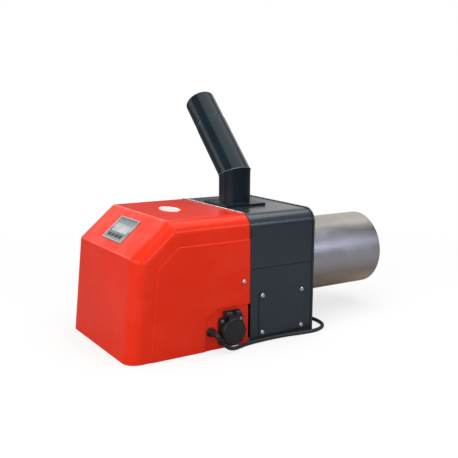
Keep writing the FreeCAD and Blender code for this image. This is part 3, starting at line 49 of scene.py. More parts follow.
FLOOR_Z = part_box("lower_housing")[0].z
TOP_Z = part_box("upper_cover")[1].z

# Camera, fitted to the photograph: its place, its three axes, lens and sensor in millimetres
CAMERA_PLACE = (1.16004, -0.83870, 0.31969)
CAMERA_RIGHT = (0.534178, 0.845354, 0.005569)
CAMERA_UP = (-0.155556, 0.091816, 0.983551)
CAMERA_BACK = (0.830937, -0.526257, 0.180546)
CAMERA_LENS = 57.063
CAMERA_SENSOR = 36.0
CAMERA_CLIP = (0.05, 30.0)

# Floor: its colour to the camera, to light that it bounces and to mirror rays, the share of
# plain white in it from near to far, the distances of both, and that share in mirror rays
FLOOR_SIZE = 8.0
FLOOR_COLOUR = (0.80, 0.80, 0.80)
FLOOR_BOUNCE = (0.31, 0.31, 0.31)
FLOOR_IN_GLOSS = (0.22, 0.22, 0.22)
FLOOR_SHOWN = (0.72, 1.0)
FLOOR_FADE = (0.35, 1.1)
MIRRORED_FLOOR = 0.05

# Room: its even light, and its brightness in mirror rays from the level up
AMBIENT = 0.50
ROOM_LOW, ROOM_HIGH = 0.08, 0.30
ROOM_FADE = (0.07, 0.45)
# Pale walls and windows, seen by mirror rays alone: direction, the cosines over which each
# fades in, strength
PALE_WALLS = [
    ((-0.91, -0.14, 0.39), (0.84, 0.97), 0.50),
    ((-0.60, 0.77, 0.20), (0.93, 0.965), 0.65),
    ((-0.54, -0.84, 0.11), (0.95, 0.99), 2.0),
    ((-0.83, -0.49, 0.24), (0.97, 0.99), 1.6),
    ((-0.83, 0.25, 0.49), (0.96, 0.99), 0.8),
]
# Lamps: name, place, what it points at, size, power, colour
WHITE = (1.0, 1.0, 1.0)
LAMPS = [
    ("overhead", (0.15, 0.05, 1.7), (0.0, -0.15, 0.0), (2.2, 1.9), 29.0, WHITE),
    ("back", (-0.5, 1.6, 1.0), (0.0, -0.1, 0.0), (1.3, 0.8), 1.0, WHITE),
    ("front", (0.7, -2.0, 0.75), (0.0, -0.2, 0.0), (1.9, 1.4), 24.5, WHITE),
    ("side", (1.9, 0.35, 0.85), (0.0, -0.1, 0.0), (1.9, 0.28), 9.0, (0.80, 0.85, 1.0)),
    ("strip", (-1.05, -1.7, 0.42), (0.0, -0.1, 0.2), (0.35, 0.9), 1.0, (0.80, 0.92, 1.0)),
]

# Display, on the hood's slope: its outside, its rim, how far its face stands out and its
# window sinks into that, and how far up the slope the window's middle lies from its own
DISPLAY_OUTER = (0.0750, 0.0510)
DISPLAY_RIM = 0.0015
DISPLAY_RIM_HEIGHT = 0.0006
DISPLAY_FACE = 0.0018
LCD_SUNK = 0.0006
LCD_RISE = 0.0025
# Its printed face, above the line at mid height and below it: heights and the colours there
FACE_TOP_SPAN = (0.010, 0.022)
FACE_TOP = ((0.26, 0.29, 0.31), (0.075, 0.092, 0.115))
FACE_LOW_SPAN = (-0.020, -0.007)
FACE_LOW = ((0.20, 0.22, 0.22), (0.115, 0.145, 0.150))
FACE_LINE_SPAN = (-0.0005, 0.0005)
FACE_SPECK = (0.30, 0.32, 0.33)
# Its window: two tones of the panel, and the darker tone that it fades to at the top
GLASS_TONES = ((0.32, 0.335, 0.33), (0.50, 0.515, 0.505))
GLASS_DUSK = (0.27, 0.31, 0.32)
GLASS_SPAN = (0.004, 0.012)

# How the window's front is told from its other faces, and one level from another
SLOPE_UPWARD = 0.5
SAME_LEVEL = 0.0001

# Surfaces: spread of a coating's gloss, how much coarser than that its colour drifts, and the
# clouds and lines of bare metal
GLOSS_SPREAD = (0.85, 1.2)
DRIFT_TO_GLOSS = 3.0
CLOUD_SCALE = 22.0
LINE_GLOSS = 0.05
# Painted sheen in pale patches on the hood: colour, share off the slope and on it, by the cosine
# to the slope
SHEEN_PINK = (0.88, 0.19, 0.15)
SHEEN_SHARE = (0.04, 0.20)
SHEEN_FACING = (0.93, 0.99)
SHEEN_SPAN = (0.42, 0.68)

# Bare oval plate on the hood
BADGE_CENTRE = (-0.001, -0.232)
BADGE_HALF = (0.0285, 0.0160)
BADGE_SIDES = 64
# Steps of its border: in from the edge, up from the hood
BADGE_STEPS = [(0.0, 0.0), (0.0, 0.0007), (0.0003, 0.0010), (0.0012, 0.0010), (0.0017, 0.0007)]

# Rolled rim at the hood's rear edge, as steps out from the surface and forward from the edge
HOOD_HALF = 0.1288
HOOD_CORNER_R = 0.024
HOOD_REAR_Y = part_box("red_hood")[1].y
PANEL_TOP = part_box("socket_panel")[1].z
RIM_PROFILE = [
    (-0.0003, 0.0022),
    (0.0008, 0.0022),
    (0.0014, 0.0016),
    (0.0014, 0.0006),
    (0.0009, 0.0),
    (-0.0003, 0.0),
]
RIM_ARC_STEPS = 12
# Heights above the hood's top over which its paint is worn through, and the near-white colour
# there, a painted glint along the rim's crest
RIM_WORN_AND_GLINT = (0.0007, 0.0010)
RIM_GLINT_WHITE = (0.92, 0.91, 0.88)

# Burner tube: painted reflections in bands, as factors on its colour from its underside to its top
TUBE_R = 0.075
TUBE_REFLECTION_BANDS = [
    (0.00, (1.55, 1.05, 0.72)),
    (0.14, (1.50, 1.15, 0.90)),
    (0.25, (0.90, 0.80, 0.74)),
    (0.42, (1.14, 1.11, 1.16)),
    (0.60, (1.32, 1.32, 1.48)),
    (0.74, (1.06, 1.08, 1.26)),
    (0.87, (0.50, 0.50, 0.50)),
    (1.00, (0.95, 0.92, 0.83)),
]
REFLECTION_BAND_WANDER = 0.010

# Welds of the feed pipe
PIPE_R = 0.030
PIPE_X, PIPE_Y = 0.0, -0.092
KNEE_Z = 0.176
KNEE_LEAN = math.radians(45.0)
WELD_R = 0.0009
WELD_RIPPLE = 0.18
WELD_RIPPLES = 55
WELD_STATIONS = 4 * WELD_RIPPLES
WELD_SIDES = 8

# Sleeve on the lead where it leaves its gland
SLEEVE_LENGTH = 0.024
SLEEVE_R = (0.0052, 0.0039)
SLEEVE_RINGS = 7
SLEEVE_PER_RING = 4
SLEEVE_GROOVE = 0.0005
SLEEVE_SIDES = 20
SLEEVE_SLACK = 1e-9

# Mains lead
CORD_R = 0.0035
CORD_CLEARANCE = 0.00005
CORD_SMOOTH, CORD_ROUND = 8, 5
LIE_Z = FLOOR_Z + CORD_R + CORD_CLEARANCE
LEAD_POINTS = [
    (0.1418, -0.2210, -0.0825),
    (0.1498, -0.2206, -0.0838),
    (0.1545, -0.2165, -0.0915),
    (0.1560, -0.2085, -0.1015),
    (0.1540, -0.1965, -0.1093),
    (0.1485, -0.1810, LIE_Z),
    (0.1395, -0.1560, LIE_Z),
    (0.1358, -0.1180, LIE_Z),
    (0.1356, -0.0700, LIE_Z),
    (0.1415, -0.0330, LIE_Z),
    (0.1445, 0.0025, LIE_Z),
    (0.1275, 0.0325, LIE_Z),
    (0.0950, 0.0420, LIE_Z),
    (0.0580, 0.0365, LIE_Z),
    (0.0200, 0.0240, LIE_Z),
    (-0.0060, 0.0150, LIE_Z),
]
TAIL_POINTS = [
    (-0.0300, 0.0065, LIE_Z + 0.0143),
    (-0.0450, 0.0035, LIE_Z + 0.0143),
    (-0.0600, 0.0065, LIE_Z + 0.0145),
    (-0.0750, 0.0140, LIE_Z + 0.0148),
    (-0.0920, 0.0220, LIE_Z + 0.0150),
]
COIL_CENTRE = (-0.042, 0.050)
COIL_START_ANGLE = -54.0
POINTS_PER_TURN = 18
# Where one strand of the coil lies after so many turns: radius, height above the floor strand
COIL_STRAND = [
    (0.00, 0.0422, 0.0),
    (0.406, 0.0422, 0.0),
    (0.475, 0.0350, 0.0),
    (1.336, 0.0350, 0.0),
    (1.406, 0.0350, 0.0071),
    (2.267, 0.0350, 0.0071),
    (2.336, 0.0422, 0.0071),
    (2.475, 0.0422, 0.0071),
    (2.544, 0.0412, 0.0036),
    (2.860, 0.0412, 0.0036),
    (2.960, 0.0422, 0.0071),
    (3.197, 0.0422, 0.0071),
    (3.267, 0.0386, 0.0132),
    (3.544, 0.0386, 0.0132),
    (3.600, 0.0412, 0.0107),
    (3.860, 0.0412, 0.0107),
    (3.970, 0.0425, 0.0143),
]


def new_material(name):
    made = bpy.data.materials.new(name)
    made.use_nodes = True
    tree = made.node_tree
    tree.nodes.clear()
    out = tree.nodes.new("ShaderNodeOutputMaterial")
    shader = tree.nodes.new("ShaderNodeBsdfPrincipled")
    tree.links.new(shader.outputs["BSDF"], out.inputs["Surface"])
    return made, tree, shader


def place_coordinates(tree, stretch=(1.0, 1.0, 1.0)):
    """The surface point in the row frame, stretched to draw out a texture along an axis."""
    coords = tree.nodes.new("ShaderNodeTexCoord")
    mapping = tree.nodes.new("ShaderNodeMapping")
    mapping.inputs["Scale"].default_value = stretch
    tree.links.new(coords.outputs["Object"], mapping.inputs["Vector"])
    return mapping.outputs["Vector"]


def noise_value(tree, scale, detail=3.0, stretch=(1.0, 1.0, 1.0), roughness=0.5):
    texture = tree.nodes.new("ShaderNodeTexNoise")
    texture.inputs["Scale"].default_value = scale
    texture.inputs["Detail"].default_value = detail
    texture.inputs["Roughness"].default_value = roughness
    tree.links.new(place_coordinates(tree, stretch), texture.inputs["Vector"])
    return texture.outputs["Fac"]


def remap(tree, value, low, high, from_low=0.3, from_high=0.7):
    """Turns a value between two numbers into one between two others and keeps it there.

    Noise lies mostly between the two that are given by default.
    """
    node = tree.nodes.new("ShaderNodeMapRange")
    node.inputs["From Min"].default_value = from_low
    node.inputs["From Max"].default_value = from_high
    node.inputs["To Min"].default_value = low
    node.inputs["To Max"].default_value = high
    tree.links.new(value, node.inputs["Value"])
    return node.outputs["Result"]


def fade_in(tree, value, span):
    """0 up to the span's first number, 1 from its second on."""
    return remap(tree, value, 0.0, 1.0, *span)


def dot_with(tree, value, way):
    node = tree.nodes.new("ShaderNodeVectorMath")
    node.operation = "DOT_PRODUCT"
    tree.links.new(value, node.inputs[0])
    node.inputs[1].default_value = way
    return node.outputs["Value"]


def height_of(tree, place):
    axes = tree.nodes.new("ShaderNodeSeparateXYZ")
    tree.links.new(place, axes.inputs[0])
    return axes.outputs["Z"]


def mix_colour(tree, fac, a, b, blend="MIX"):
    """Mixes two colours, each a tuple or another node's colour."""
    node = tree.nodes.new("ShaderNodeMix")
    node.data_type = "RGBA"
    node.blend_type = blend
    for socket, value in (("A", a), ("B", b)):
        target = next(s for s in node.inputs if s.name == socket and s.type == "RGBA")
        if isinstance(value, tuple):
            target.default_value = (*value, 1.0)
        else:
            tree.links.new(value, target)
    if isinstance(fac, float):
        node.inputs["Factor"].default_value = fac
    else:
        tree.links.new(fac, node.inputs["Factor"])
    return next(s for s in node.outputs if s.type == "RGBA")


def math_node(tree, operation, a, b):
    node = tree.nodes.new("ShaderNodeMath")
    node.operation = operation
    for socket, value in zip(node.inputs, (a, b)):
        if isinstance(value, float):
            socket.default_value = value
        else:
            tree.links.new(value, socket)
    return node.outputs["Value"]


def shade(colour, factor):
    return tuple(min(1.0, c * factor) for c in colour)


def bump(tree, height, distance):
    node = tree.nodes.new("ShaderNodeBump")
    node.inputs["Strength"].default_value = 1.0
    node.inputs["Distance"].default_value = distance
    tree.links.new(height, node.inputs["Height"])
    return node.outputs["Normal"]


def coating(name, colour, rough, tone, tone_scale, grain, depth, **sockets):
    """A painted or moulded surface: slow colour drift, uneven gloss and a fine skin."""
    made, tree, shader = new_material(name)
    drift = remap(tree, noise_value(tree, tone_scale, 4.0), 0.0, 1.0)
    colours = mix_colour(tree, drift, shade(colour, 1 - tone), shade(colour, 1 + tone))
    tree.links.new(colours, shader.inputs["Base Color"])
    gloss = noise_value(tree, tone_scale * DRIFT_TO_GLOSS, 3.0)
    glossiest, dullest = (rough * factor for factor in GLOSS_SPREAD)
    tree.links.new(remap(tree, gloss, glossiest, dullest), shader.inputs["Roughness"])
    skin = noise_value(tree, grain, 2.0)
    tree.links.new(bump(tree, skin, depth), shader.inputs["Normal"])
    for socket, value in sockets.items():
        shader.inputs[socket.replace("_", " ")].default_value = value
    return made


def metal(
    name, colour, rough, stretch, line_scale, line_depth, tone=0.10, cloud=0.12, painted_bands=None
):
    """Bare metal with drawn-out lines, cloudy reflections and a slow change of tone."""
    made, tree, shader = new_material(name)
    shader.inputs["Metallic"].default_value = 1.0
    lines = noise_value(tree, line_scale, 4.0, stretch, 0.65)
    clouds = noise_value(tree, CLOUD_SCALE, 5.0, roughness=0.6)
    both = math_node(tree, "MULTIPLY", remap(tree, lines, 0.6, 1.0), remap(tree, clouds, 0.5, 1.0))
    colours = mix_colour(tree, both, shade(colour, 1 - tone), shade(colour, 1 + tone))
    if painted_bands is not None:
        colours = painted_bands(tree, colours)
    tree.links.new(colours, shader.inputs["Base Color"])
    cloudy = remap(tree, clouds, rough - cloud, rough + cloud)
    worn = math_node(tree, "ADD", remap(tree, lines, -LINE_GLOSS, LINE_GLOSS), cloudy)
    tree.links.new(worn, shader.inputs["Roughness"])
    tree.links.new(bump(tree, lines, line_depth), shader.inputs["Normal"])
    return made


def tube_painted_reflections(tree, colours):
    """Painted reflections in bands along the tube's height: warm below, cool midway, dull above,
    pale on top.
    """
    noise = noise_value(tree, 9.0, 3.0, (1.0, 0.4, 1.0))
    wander = remap(tree, noise, -REFLECTION_BAND_WANDER, REFLECTION_BAND_WANDER)
    height = math_node(tree, "ADD", height_of(tree, place_coordinates(tree)), wander)
    ramp = tree.nodes.new("ShaderNodeValToRGB")
    tree.links.new(fade_in(tree, height, (-TUBE_R, TUBE_R)), ramp.inputs["Fac"])
    stops = ramp.color_ramp.elements
    while len(stops) < len(TUBE_REFLECTION_BANDS):
        stops.new(0.5)
    for stop, (place, colour) in zip(stops, TUBE_REFLECTION_BANDS):
        stop.position = place
        stop.color = (*colour, 1.0)
    return mix_colour(tree, 1.0, colours, ramp.outputs["Color"], "MULTIPLY")


def slope_place():
    """The middle of the display on the hood's slope, the slope's way up and its normal."""
    mesh = nodes["lcd_lens"].data
    upward = [face for face in mesh.polygons if face.normal.z > SLOPE_UPWARD]
    front = max(upward, key=lambda face: face.area)
    normal = front.normal.copy()
    up = Vector((0.0, normal.z, -normal.y))
    level = front.center.dot(normal)
    on_glass = [v.co.dot(up) for v in mesh.vertices if abs(v.co.dot(normal) - level) < SAME_LEVEL]
    middle = up * (min(on_glass) + max(on_glass)) / 2 + normal * level
    return middle - up * LCD_RISE - normal * (DISPLAY_FACE - LCD_SUNK), up, normal


SLOPE_MIDDLE, SLOPE_UP, SLOPE_NORMAL = slope_place()


def slope_height(tree):
    """How far up the slope a surface point lies from the middle of the display."""
    up_slope = dot_with(tree, place_coordinates(tree), SLOPE_UP)
    return math_node(tree, "SUBTRACT", up_slope, SLOPE_MIDDLE.dot(SLOPE_UP))


def display_face():
    """A printed face: dusky blue at the top, paler beside the window, teal grey by the keys."""
    made, tree, shader = new_material("display_face")
    height = slope_height(tree)
    top = mix_colour(tree, fade_in(tree, height, FACE_TOP_SPAN), *FACE_TOP)
    low = mix_colour(tree, fade_in(tree, height, FACE_LOW_SPAN), *FACE_LOW)
    both = mix_colour(tree, fade_in(tree, height, FACE_LINE_SPAN), low, top)
    grain = remap(tree, noise_value(tree, 90.0, 3.0), 0.0, 0.25)
    tree.links.new(mix_colour(tree, grain, both, FACE_SPECK), shader.inputs["Base Color"])
    tree.links.new(remap(tree, noise_value(tree, 60.0), 0.22, 0.32), shader.inputs["Roughness"])
    tree.links.new(bump(tree, noise_value(tree, 1200.0), 0.00002), shader.inputs["Normal"])
    return made


def display_window():
    """Pale glass over a liquid crystal panel, brighter along its lower half."""
    made, tree, shader = new_material("display_window")
    cloud = remap(tree, noise_value(tree, 55.0, 2.0), 0.0, 1.0)
    panel = mix_colour(tree, cloud, *GLASS_TONES)
    dusk = mix_colour(tree, fade_in(tree, slope_height(tree), GLASS_SPAN), panel, GLASS_DUSK)
    tree.links.new(dusk, shader.inputs["Base Color"])
    tree.links.new(remap(tree, noise_value(tree, 40.0), 0.08, 0.16), shader.inputs["Roughness"])
    shader.inputs["Coat Weight"].default_value = 0.6
    shader.inputs["Coat Roughness"].default_value = 0.04
    return made


def paint_of(made):
    """A coating's tree, its shader's colour input and the colour that feeds it."""
    tree = made.node_tree
    shader = next(node for node in tree.nodes if node.type == "BSDF_PRINCIPLED")
    target = shader.inputs["Base Color"]
    return tree, target, target.links[0].from_socket


def with_painted_sheen(made):
    """Gloss paint with painted sheen in pale patches, faint all over and plain on the slope."""
    tree, target, paint = paint_of(made)
    coords = tree.nodes.new("ShaderNodeTexCoord")
    facing = dot_with(tree, coords.outputs["Normal"], SLOPE_NORMAL)
    most = remap(tree, facing, *SHEEN_SHARE, *SHEEN_FACING)
    noise = noise_value(tree, 34.0, 4.0, (1.0, 0.7, 0.9), 0.6)
    sheen_patches = math_node(tree, "MULTIPLY", most, fade_in(tree, noise, SHEEN_SPAN))
    tree.links.new(mix_colour(tree, sheen_patches, paint, SHEEN_PINK), target)
    return made


def rubbed_with_glints(made, low, high, bare):
    """Paint worn through in specks where the surface rises from one height to another, the specks
    pale enough to paint glints.
    """
    tree, target, paint = paint_of(made)
    raised = fade_in(tree, height_of(tree, place_coordinates(tree)), (low, high))
    specks = remap(tree, noise_value(tree, 190.0, 3.0), 0.25, 1.0, 0.36, 0.50)
    worn = math_node(tree, "MULTIPLY", raised, specks)
    tree.links.new(mix_colour(tree, worn, paint, bare), target)
    return made


def dress(material, *names):
    for name in names:
        mesh = nodes[name].data
        mesh.materials.clear()
        mesh.materials.append(material)


# Coatings: colour, roughness, drift of tone and its scale, scale and depth of the skin
RED_PAINT = coating(
    "red_gloss", (0.760, 0.026, 0.006), 0.18, 0.05, 6.0, 160.0, 0.000006, Specular_IOR_Level=0.18
)
# The hood's red carries painted sheen, strongest on the slope.
RED = with_painted_sheen(RED_PAINT)
# The rim's dark red is painted shade, for the shadow line along the hood's rear seam; its crest
# gets painted glints.
RIM_SHADE_RED = coating("red_rim_painted_shade", (0.120, 0.010, 0.008), 0.34, 0.15, 40.0, 900.0, 0.00001)
# The crest's near-white specks are worn paint and painted glints at once.
RIM_SHADE_AND_GLINTS = rubbed_with_glints(RIM_SHADE_RED, TOP_Z + RIM_WORN_AND_GLINT[0], TOP_Z + RIM_WORN_AND_GLINT[1], RIM_GLINT_WHITE)
BLACK = coating(
    "black_powder_coat", (0.0185, 0.0238, 0.0322), 0.28, 0.10, 10.0, 320.0, 0.000002,
    Coat_Weight=0.4, Coat_Roughness=0.24, Specular_Tint=(0.80, 0.92, 1.0, 1.0),
)
PIPE = coating(
    "pipe_powder_coat", (0.0060, 0.0120, 0.0175), 0.23, 0.12, 14.0, 320.0, 0.000005,
    Specular_IOR_Level=0.23, Specular_Tint=(0.80, 0.93, 1.0, 1.0),
)
# The weld bead's pale grey-blue, far lighter than the pipe's coat, is a painted highlight along
# the weld.
WELD_HIGHLIGHT = coating("weld_bead", (0.085, 0.110, 0.130), 0.25, 0.25, 180.0, 700.0, 0.00005)
BADGE = coating("bare_plate", (0.88, 0.86, 0.81), 0.22, 0.05, 60.0, 900.0, 0.00001)
OXIDE = coating(
    "black_oxide", (0.020, 0.021, 0.023), 0.36, 0.2, 90.0, 1200.0, 0.00003, Metallic=0.5
)
DULL_STEEL = coating(
    "dull_steel", (0.42, 0.46, 0.52), 0.32, 0.2, 120.0, 1200.0, 0.00003, Metallic=0.8
)
PLASTIC = coating("black_plastic", (0.012, 0.013, 0.014), 0.38, 0.12, 30.0, 1600.0, 0.00008)
RUBBER = coating(
    "gland_rubber", (0.010, 0.011, 0.013), 0.42, 0.12, 30.0, 1600.0, 0.00008,
    Specular_IOR_Level=0.25,
)
PVC = coating("cord_sheath", (0.014, 0.015, 0.017), 0.42, 0.15, 40.0, 900.0, 0.00004)
WHITE_NYLON = coating("white_nylon", (0.72, 0.72, 0.68), 0.45, 0.04, 30.0, 1200.0, 0.00004)
KEYS = coating("key_rubber", (0.035, 0.032, 0.034), 0.5, 0.2, 60.0, 1500.0, 0.00004)
MOTOR = coating("motor_black", (0.03, 0.03, 0.034), 0.4, 0.15, 25.0, 900.0, 0.00004)
BOARD = coating("board_green", (0.012, 0.11, 0.045), 0.35, 0.15, 120.0, 700.0, 0.00003)
RELAY = coating("relay_blue", (0.02, 0.05, 0.14), 0.35, 0.1, 60.0, 900.0, 0.00003)
CERAMIC = coating("fired_ceramic", (0.70, 0.68, 0.62), 0.6, 0.06, 60.0, 900.0, 0.00006)
SILVER = coating(
    "silver_plastic", (0.58, 0.58, 0.58), 0.30, 0.06, 20.0, 900.0, 0.00002, Metallic=0.35
)

# Metals: colour, roughness, which way the lines are drawn out, their scale and depth, change
# of tone, cloudiness
ROLLED, LATHED, EVEN = (1.0, 14.0, 1.0), (1.0, 8.0, 1.0), (1.0, 1.0, 1.0)
STAINLESS = metal("stainless_sheet", (0.50, 0.48, 0.47), 0.42, ROLLED, 60.0, 0.00003)
# The burner tube's colour carries painted reflections in bands along its height.
TUBE = metal(
    "rolled_tube", (0.52, 0.51, 0.505), 0.40, ROLLED, 60.0, 0.00001, 0.15, 0.07, tube_painted_reflections
)
ZINC = metal("bright_zinc", (0.72, 0.74, 0.78), 0.24, EVEN, 500.0, 0.00002, 0.06, 0.05)
GALVANISED = metal("zinc_sheet", (0.55, 0.57, 0.58), 0.40, EVEN, 70.0, 0.00002, 0.12, 0.10)
BRASS = metal("plain_brass", (0.70, 0.50, 0.22), 0.30, LATHED, 200.0, 0.00002, 0.08, 0.05)
NICKEL = metal("nickel_plate", (0.66, 0.64, 0.60), 0.20, EVEN, 300.0, 0.00001, 0.05, 0.04)
CAST = metal("cast_alloy", (0.50, 0.51, 0.52), 0.48, EVEN, 260.0, 0.00010, 0.10, 0.06)
FACE = display_face()
LCD = display_window()

dress(RED, "red_hood", "socket_panel")
dress(BLACK, "lower_housing", "upper_cover", "rear_plate", "service_hatch")
dress(PIPE, "inlet_flange", "feed_pipe_lower", "feed_pipe_upper")
dress(PLASTIC, "socket_body", "socket_lid", "gland_nut", "mains_plug", "coil_tie", "flame_sensor")
dress(RUBBER, "cable_gland")
dress(PVC, "mains_cord", "cord_coil")
dress(WHITE_NYLON, "terminal_block", "igniter_holder")
dress(KEYS, "button_1", "button_2", "button_3", "button_4")
dress(MOTOR, "auger_motor", "fan_motor")
dress(BOARD, "control_board")
dress(RELAY, "board_parts")
dress(CERAMIC, "igniter_rod")
dress(FACE, "display_bezel")
dress(TUBE, "burner_tube", "mouth_ring")
dress(STAINLESS, "combustion_chamber", "grate", "auger_tube", "auger_screw")
dress(STAINLESS, "igniter_tube", "sight_tube")
dress(ZINC, "hatch_screws", "hood_screws", "gearbox_screws", "fan_screws")
dress(ZINC, "drive_shaft", "drive_pin", "fan_shaft")
dress(OXIDE, "lid_hinge_pin", "lid_spring")
dress(DULL_STEEL, "socket_screws")
dress(GALVANISED, "base_tray", "bulkhead_plate", "hood_brackets", "drop_chute")
dress(GALVANISED, "fan_housing", "fan_impeller")
dress(BRASS, "shaft_bushing")
dress(NICKEL, "socket_contacts", "plug_pins")
dress(CAST, "gearbox")
dress(LCD, "lcd_lens")


def coil_points():
    """Control points of the coil's turns, clockwise from above, one strand after another."""
    points = []
    last = COIL_STRAND[-1][0]
    steps = round(last * POINTS_PER_TURN)
    for step in range(1, steps + 1):
        turns = last * step / steps
        for (t0, r0, z0), (t1, r1, z1) in zip(COIL_STRAND, COIL_STRAND[1:]):
            if t0 <= turns <= t1:
                share = (turns - t0) / (t1 - t0)
                radius, lift = r0 + (r1 - r0) * share, z0 + (z1 - z0) * share
        angle = math.radians(COIL_START_ANGLE - 360.0 * turns)
        x = COIL_CENTRE[0] + radius * math.cos(angle)
        y = COIL_CENTRE[1] + radius * math.sin(angle)
        points.append((x, y, LIE_Z + lift))
    return points


def cord_curve(name, points, radius, material):
    curve = bpy.data.curves.new(name, "CURVE")
    curve.dimensions = "3D"
    spline = curve.splines.new("NURBS")
    spline.points.add(len(points) - 1)
    for target, point in zip(spline.points, points):
        target.co = (*point, 1.0)
    spline.order_u = 3
    spline.use_endpoint_u = True
    spline.resolution_u = CORD_SMOOTH
    curve.bevel_depth = radius
    curve.bevel_resolution = CORD_ROUND
    curve.use_fill_caps = True
    made = bpy.data.objects.new(name, curve)
    made.data.materials.append(material)
    bpy.context.scene.collection.objects.link(made)
    return made


cord = cord_curve("mains_lead", LEAD_POINTS + coil_points() + TAIL_POINTS, CORD_R, PVC)
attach(cord, ROOT)
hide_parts("mains_cord", "cord_coil")


def add_piece(name, points, faces, material, smooth=True):
    """A closed mesh piece that rides on the body."""
    mesh = bpy.data.meshes.new(name)
    mesh.from_pydata([tuple(point) for point in points], [], faces)
    shape = bmesh.new()
    shape.from_mesh(mesh)
    bmesh.ops.recalc_face_normals(shape, faces=shape.faces)
    shape.to_mesh(mesh)
    shape.free()
    for face in mesh.polygons:
        face.use_smooth = smooth
    mesh.materials.append(material)
    made = bpy.data.objects.new(name, mesh)
    bpy.context.scene.collection.objects.link(made)
    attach(made, ROOT)
    return made


def ring_faces(rings, sides, closed):
    """Quads between rings of points, and end faces where the run is open."""
    faces = []
    for ring in range(rings if closed else rings - 1):
        here, there = ring * sides, (ring + 1) % rings * sides
        for side in range(sides):
            step = (side + 1) % sides
            faces.append((here + side, here + step, there + step, there + side))
    if not closed:
        faces.append(tuple(reversed(range(sides))))
        faces.append(tuple(range((rings - 1) * sides, rings * sides)))
    return faces


def oval_plate():
    """A bare oval plate with a raised border, lying on the hood's top."""
    points = []
    for inset, height in BADGE_STEPS:
        for side in range(BADGE_SIDES):
            angle = math.tau * side / BADGE_SIDES
            x = BADGE_CENTRE[0] + (BADGE_HALF[0] - inset) * math.cos(angle)
            y = BADGE_CENTRE[1] + (BADGE_HALF[1] - inset) * math.sin(angle)
            points.append((x, y, TOP_Z + height))
    faces = ring_faces(len(BADGE_STEPS), BADGE_SIDES, False)
    add_piece("oval_plate", points, faces, BADGE, False)


def hood_rim():
    """The hood's rear edge, rolled outward, from the socket panel over the top to the far foot, in
    dark red that paints the seam's shade, with painted glints on its crest.
    """
    outline = [(HOOD_HALF, PANEL_TOP, 1.0, 0.0)]
    for side, start in ((1.0, 0.0), (-1.0, 90.0)):
        for step in range(RIM_ARC_STEPS + 1):
            angle = math.radians(start + 90.0 * step / RIM_ARC_STEPS)
            across, up = math.cos(angle), math.sin(angle)
            x = side * (HOOD_HALF - HOOD_CORNER_R) + HOOD_CORNER_R * across
            outline.append((x, TOP_Z - HOOD_CORNER_R + HOOD_CORNER_R * up, across, up))
    outline.append((-HOOD_HALF, FLOOR_Z, -1.0, 0.0))
    points = [
        (x + across * out, HOOD_REAR_Y - back, z + up * out)
        for x, z, across, up in outline
        for out, back in RIM_PROFILE
    ]
    faces = ring_faces(len(outline), len(RIM_PROFILE), False)
    add_piece("hood_rim", points, faces, RIM_SHADE_AND_GLINTS, False)


def weld_bead(name, lean, height, material):
    """A rippled bead round the pipe, on a section that leans by this angle."""
    points = []
    for station in range(WELD_STATIONS):
        angle = math.tau * station / WELD_STATIONS
        out = Vector((math.cos(angle), math.sin(angle), 0.0))
        lift = Vector((0, 0, PIPE_R * math.cos(angle) * math.tan(lean)))
        centre = Vector((PIPE_X, PIPE_Y, height)) + PIPE_R * out + lift
        radius = WELD_R * (1 + WELD_RIPPLE * math.sin(WELD_RIPPLES * angle))
        for side in range(WELD_SIDES):
            turn = math.tau * side / WELD_SIDES
            around = math.cos(turn) * out + math.sin(turn) * Vector((0, 0, 1))
            points.append(centre + radius * around)
    add_piece(name, points, ring_faces(WELD_STATIONS, WELD_SIDES, True), material)


def display_rim():
    """A thin bright frame round the display's face."""
    half_x, half_y = DISPLAY_OUTER[0] / 2, DISPLAY_OUTER[1] / 2
    rise, edge = DISPLAY_RIM_HEIGHT, DISPLAY_RIM_HEIGHT / 2
    outer = [(0.0, 0.0), (0.0, edge), (edge, rise)]
    profile = outer + [(DISPLAY_RIM - inset, height) for inset, height in reversed(outer)]
    points = []
    for across, along in ((-1, -1), (1, -1), (1, 1), (-1, 1)):
        for inset, height in profile:
            beside = Vector((across * (half_x - inset), 0, 0))
            above = SLOPE_UP * (along * (half_y - inset))
            proud = SLOPE_NORMAL * (DISPLAY_FACE + height)
            points.append(SLOPE_MIDDLE + beside + above + proud)
    faces = ring_faces(4, len(profile), True)
    add_piece("display_rim", points, faces, SILVER, False)


def lead_start(length):
    """Points along the first stretch of the lead, read from its spline."""
    bare = bpy.data.objects.new("lead_line", cord.data.copy())
    bare.data.bevel_depth = 0.0
    line = bpy.data.meshes.new_from_object(bare)
    bpy.data.objects.remove(bare)
    path = [line.vertices[0].co.copy()]
    done = 0.0
    for vertex in line.vertices[1:]:
        step = (vertex.co - path[-1]).length
        if done + step > length:
            path.append(path[-1].lerp(vertex.co, (length - done) / step))
            break
        done += step
        path.append(vertex.co.copy())
    bpy.data.meshes.remove(line)
    return path


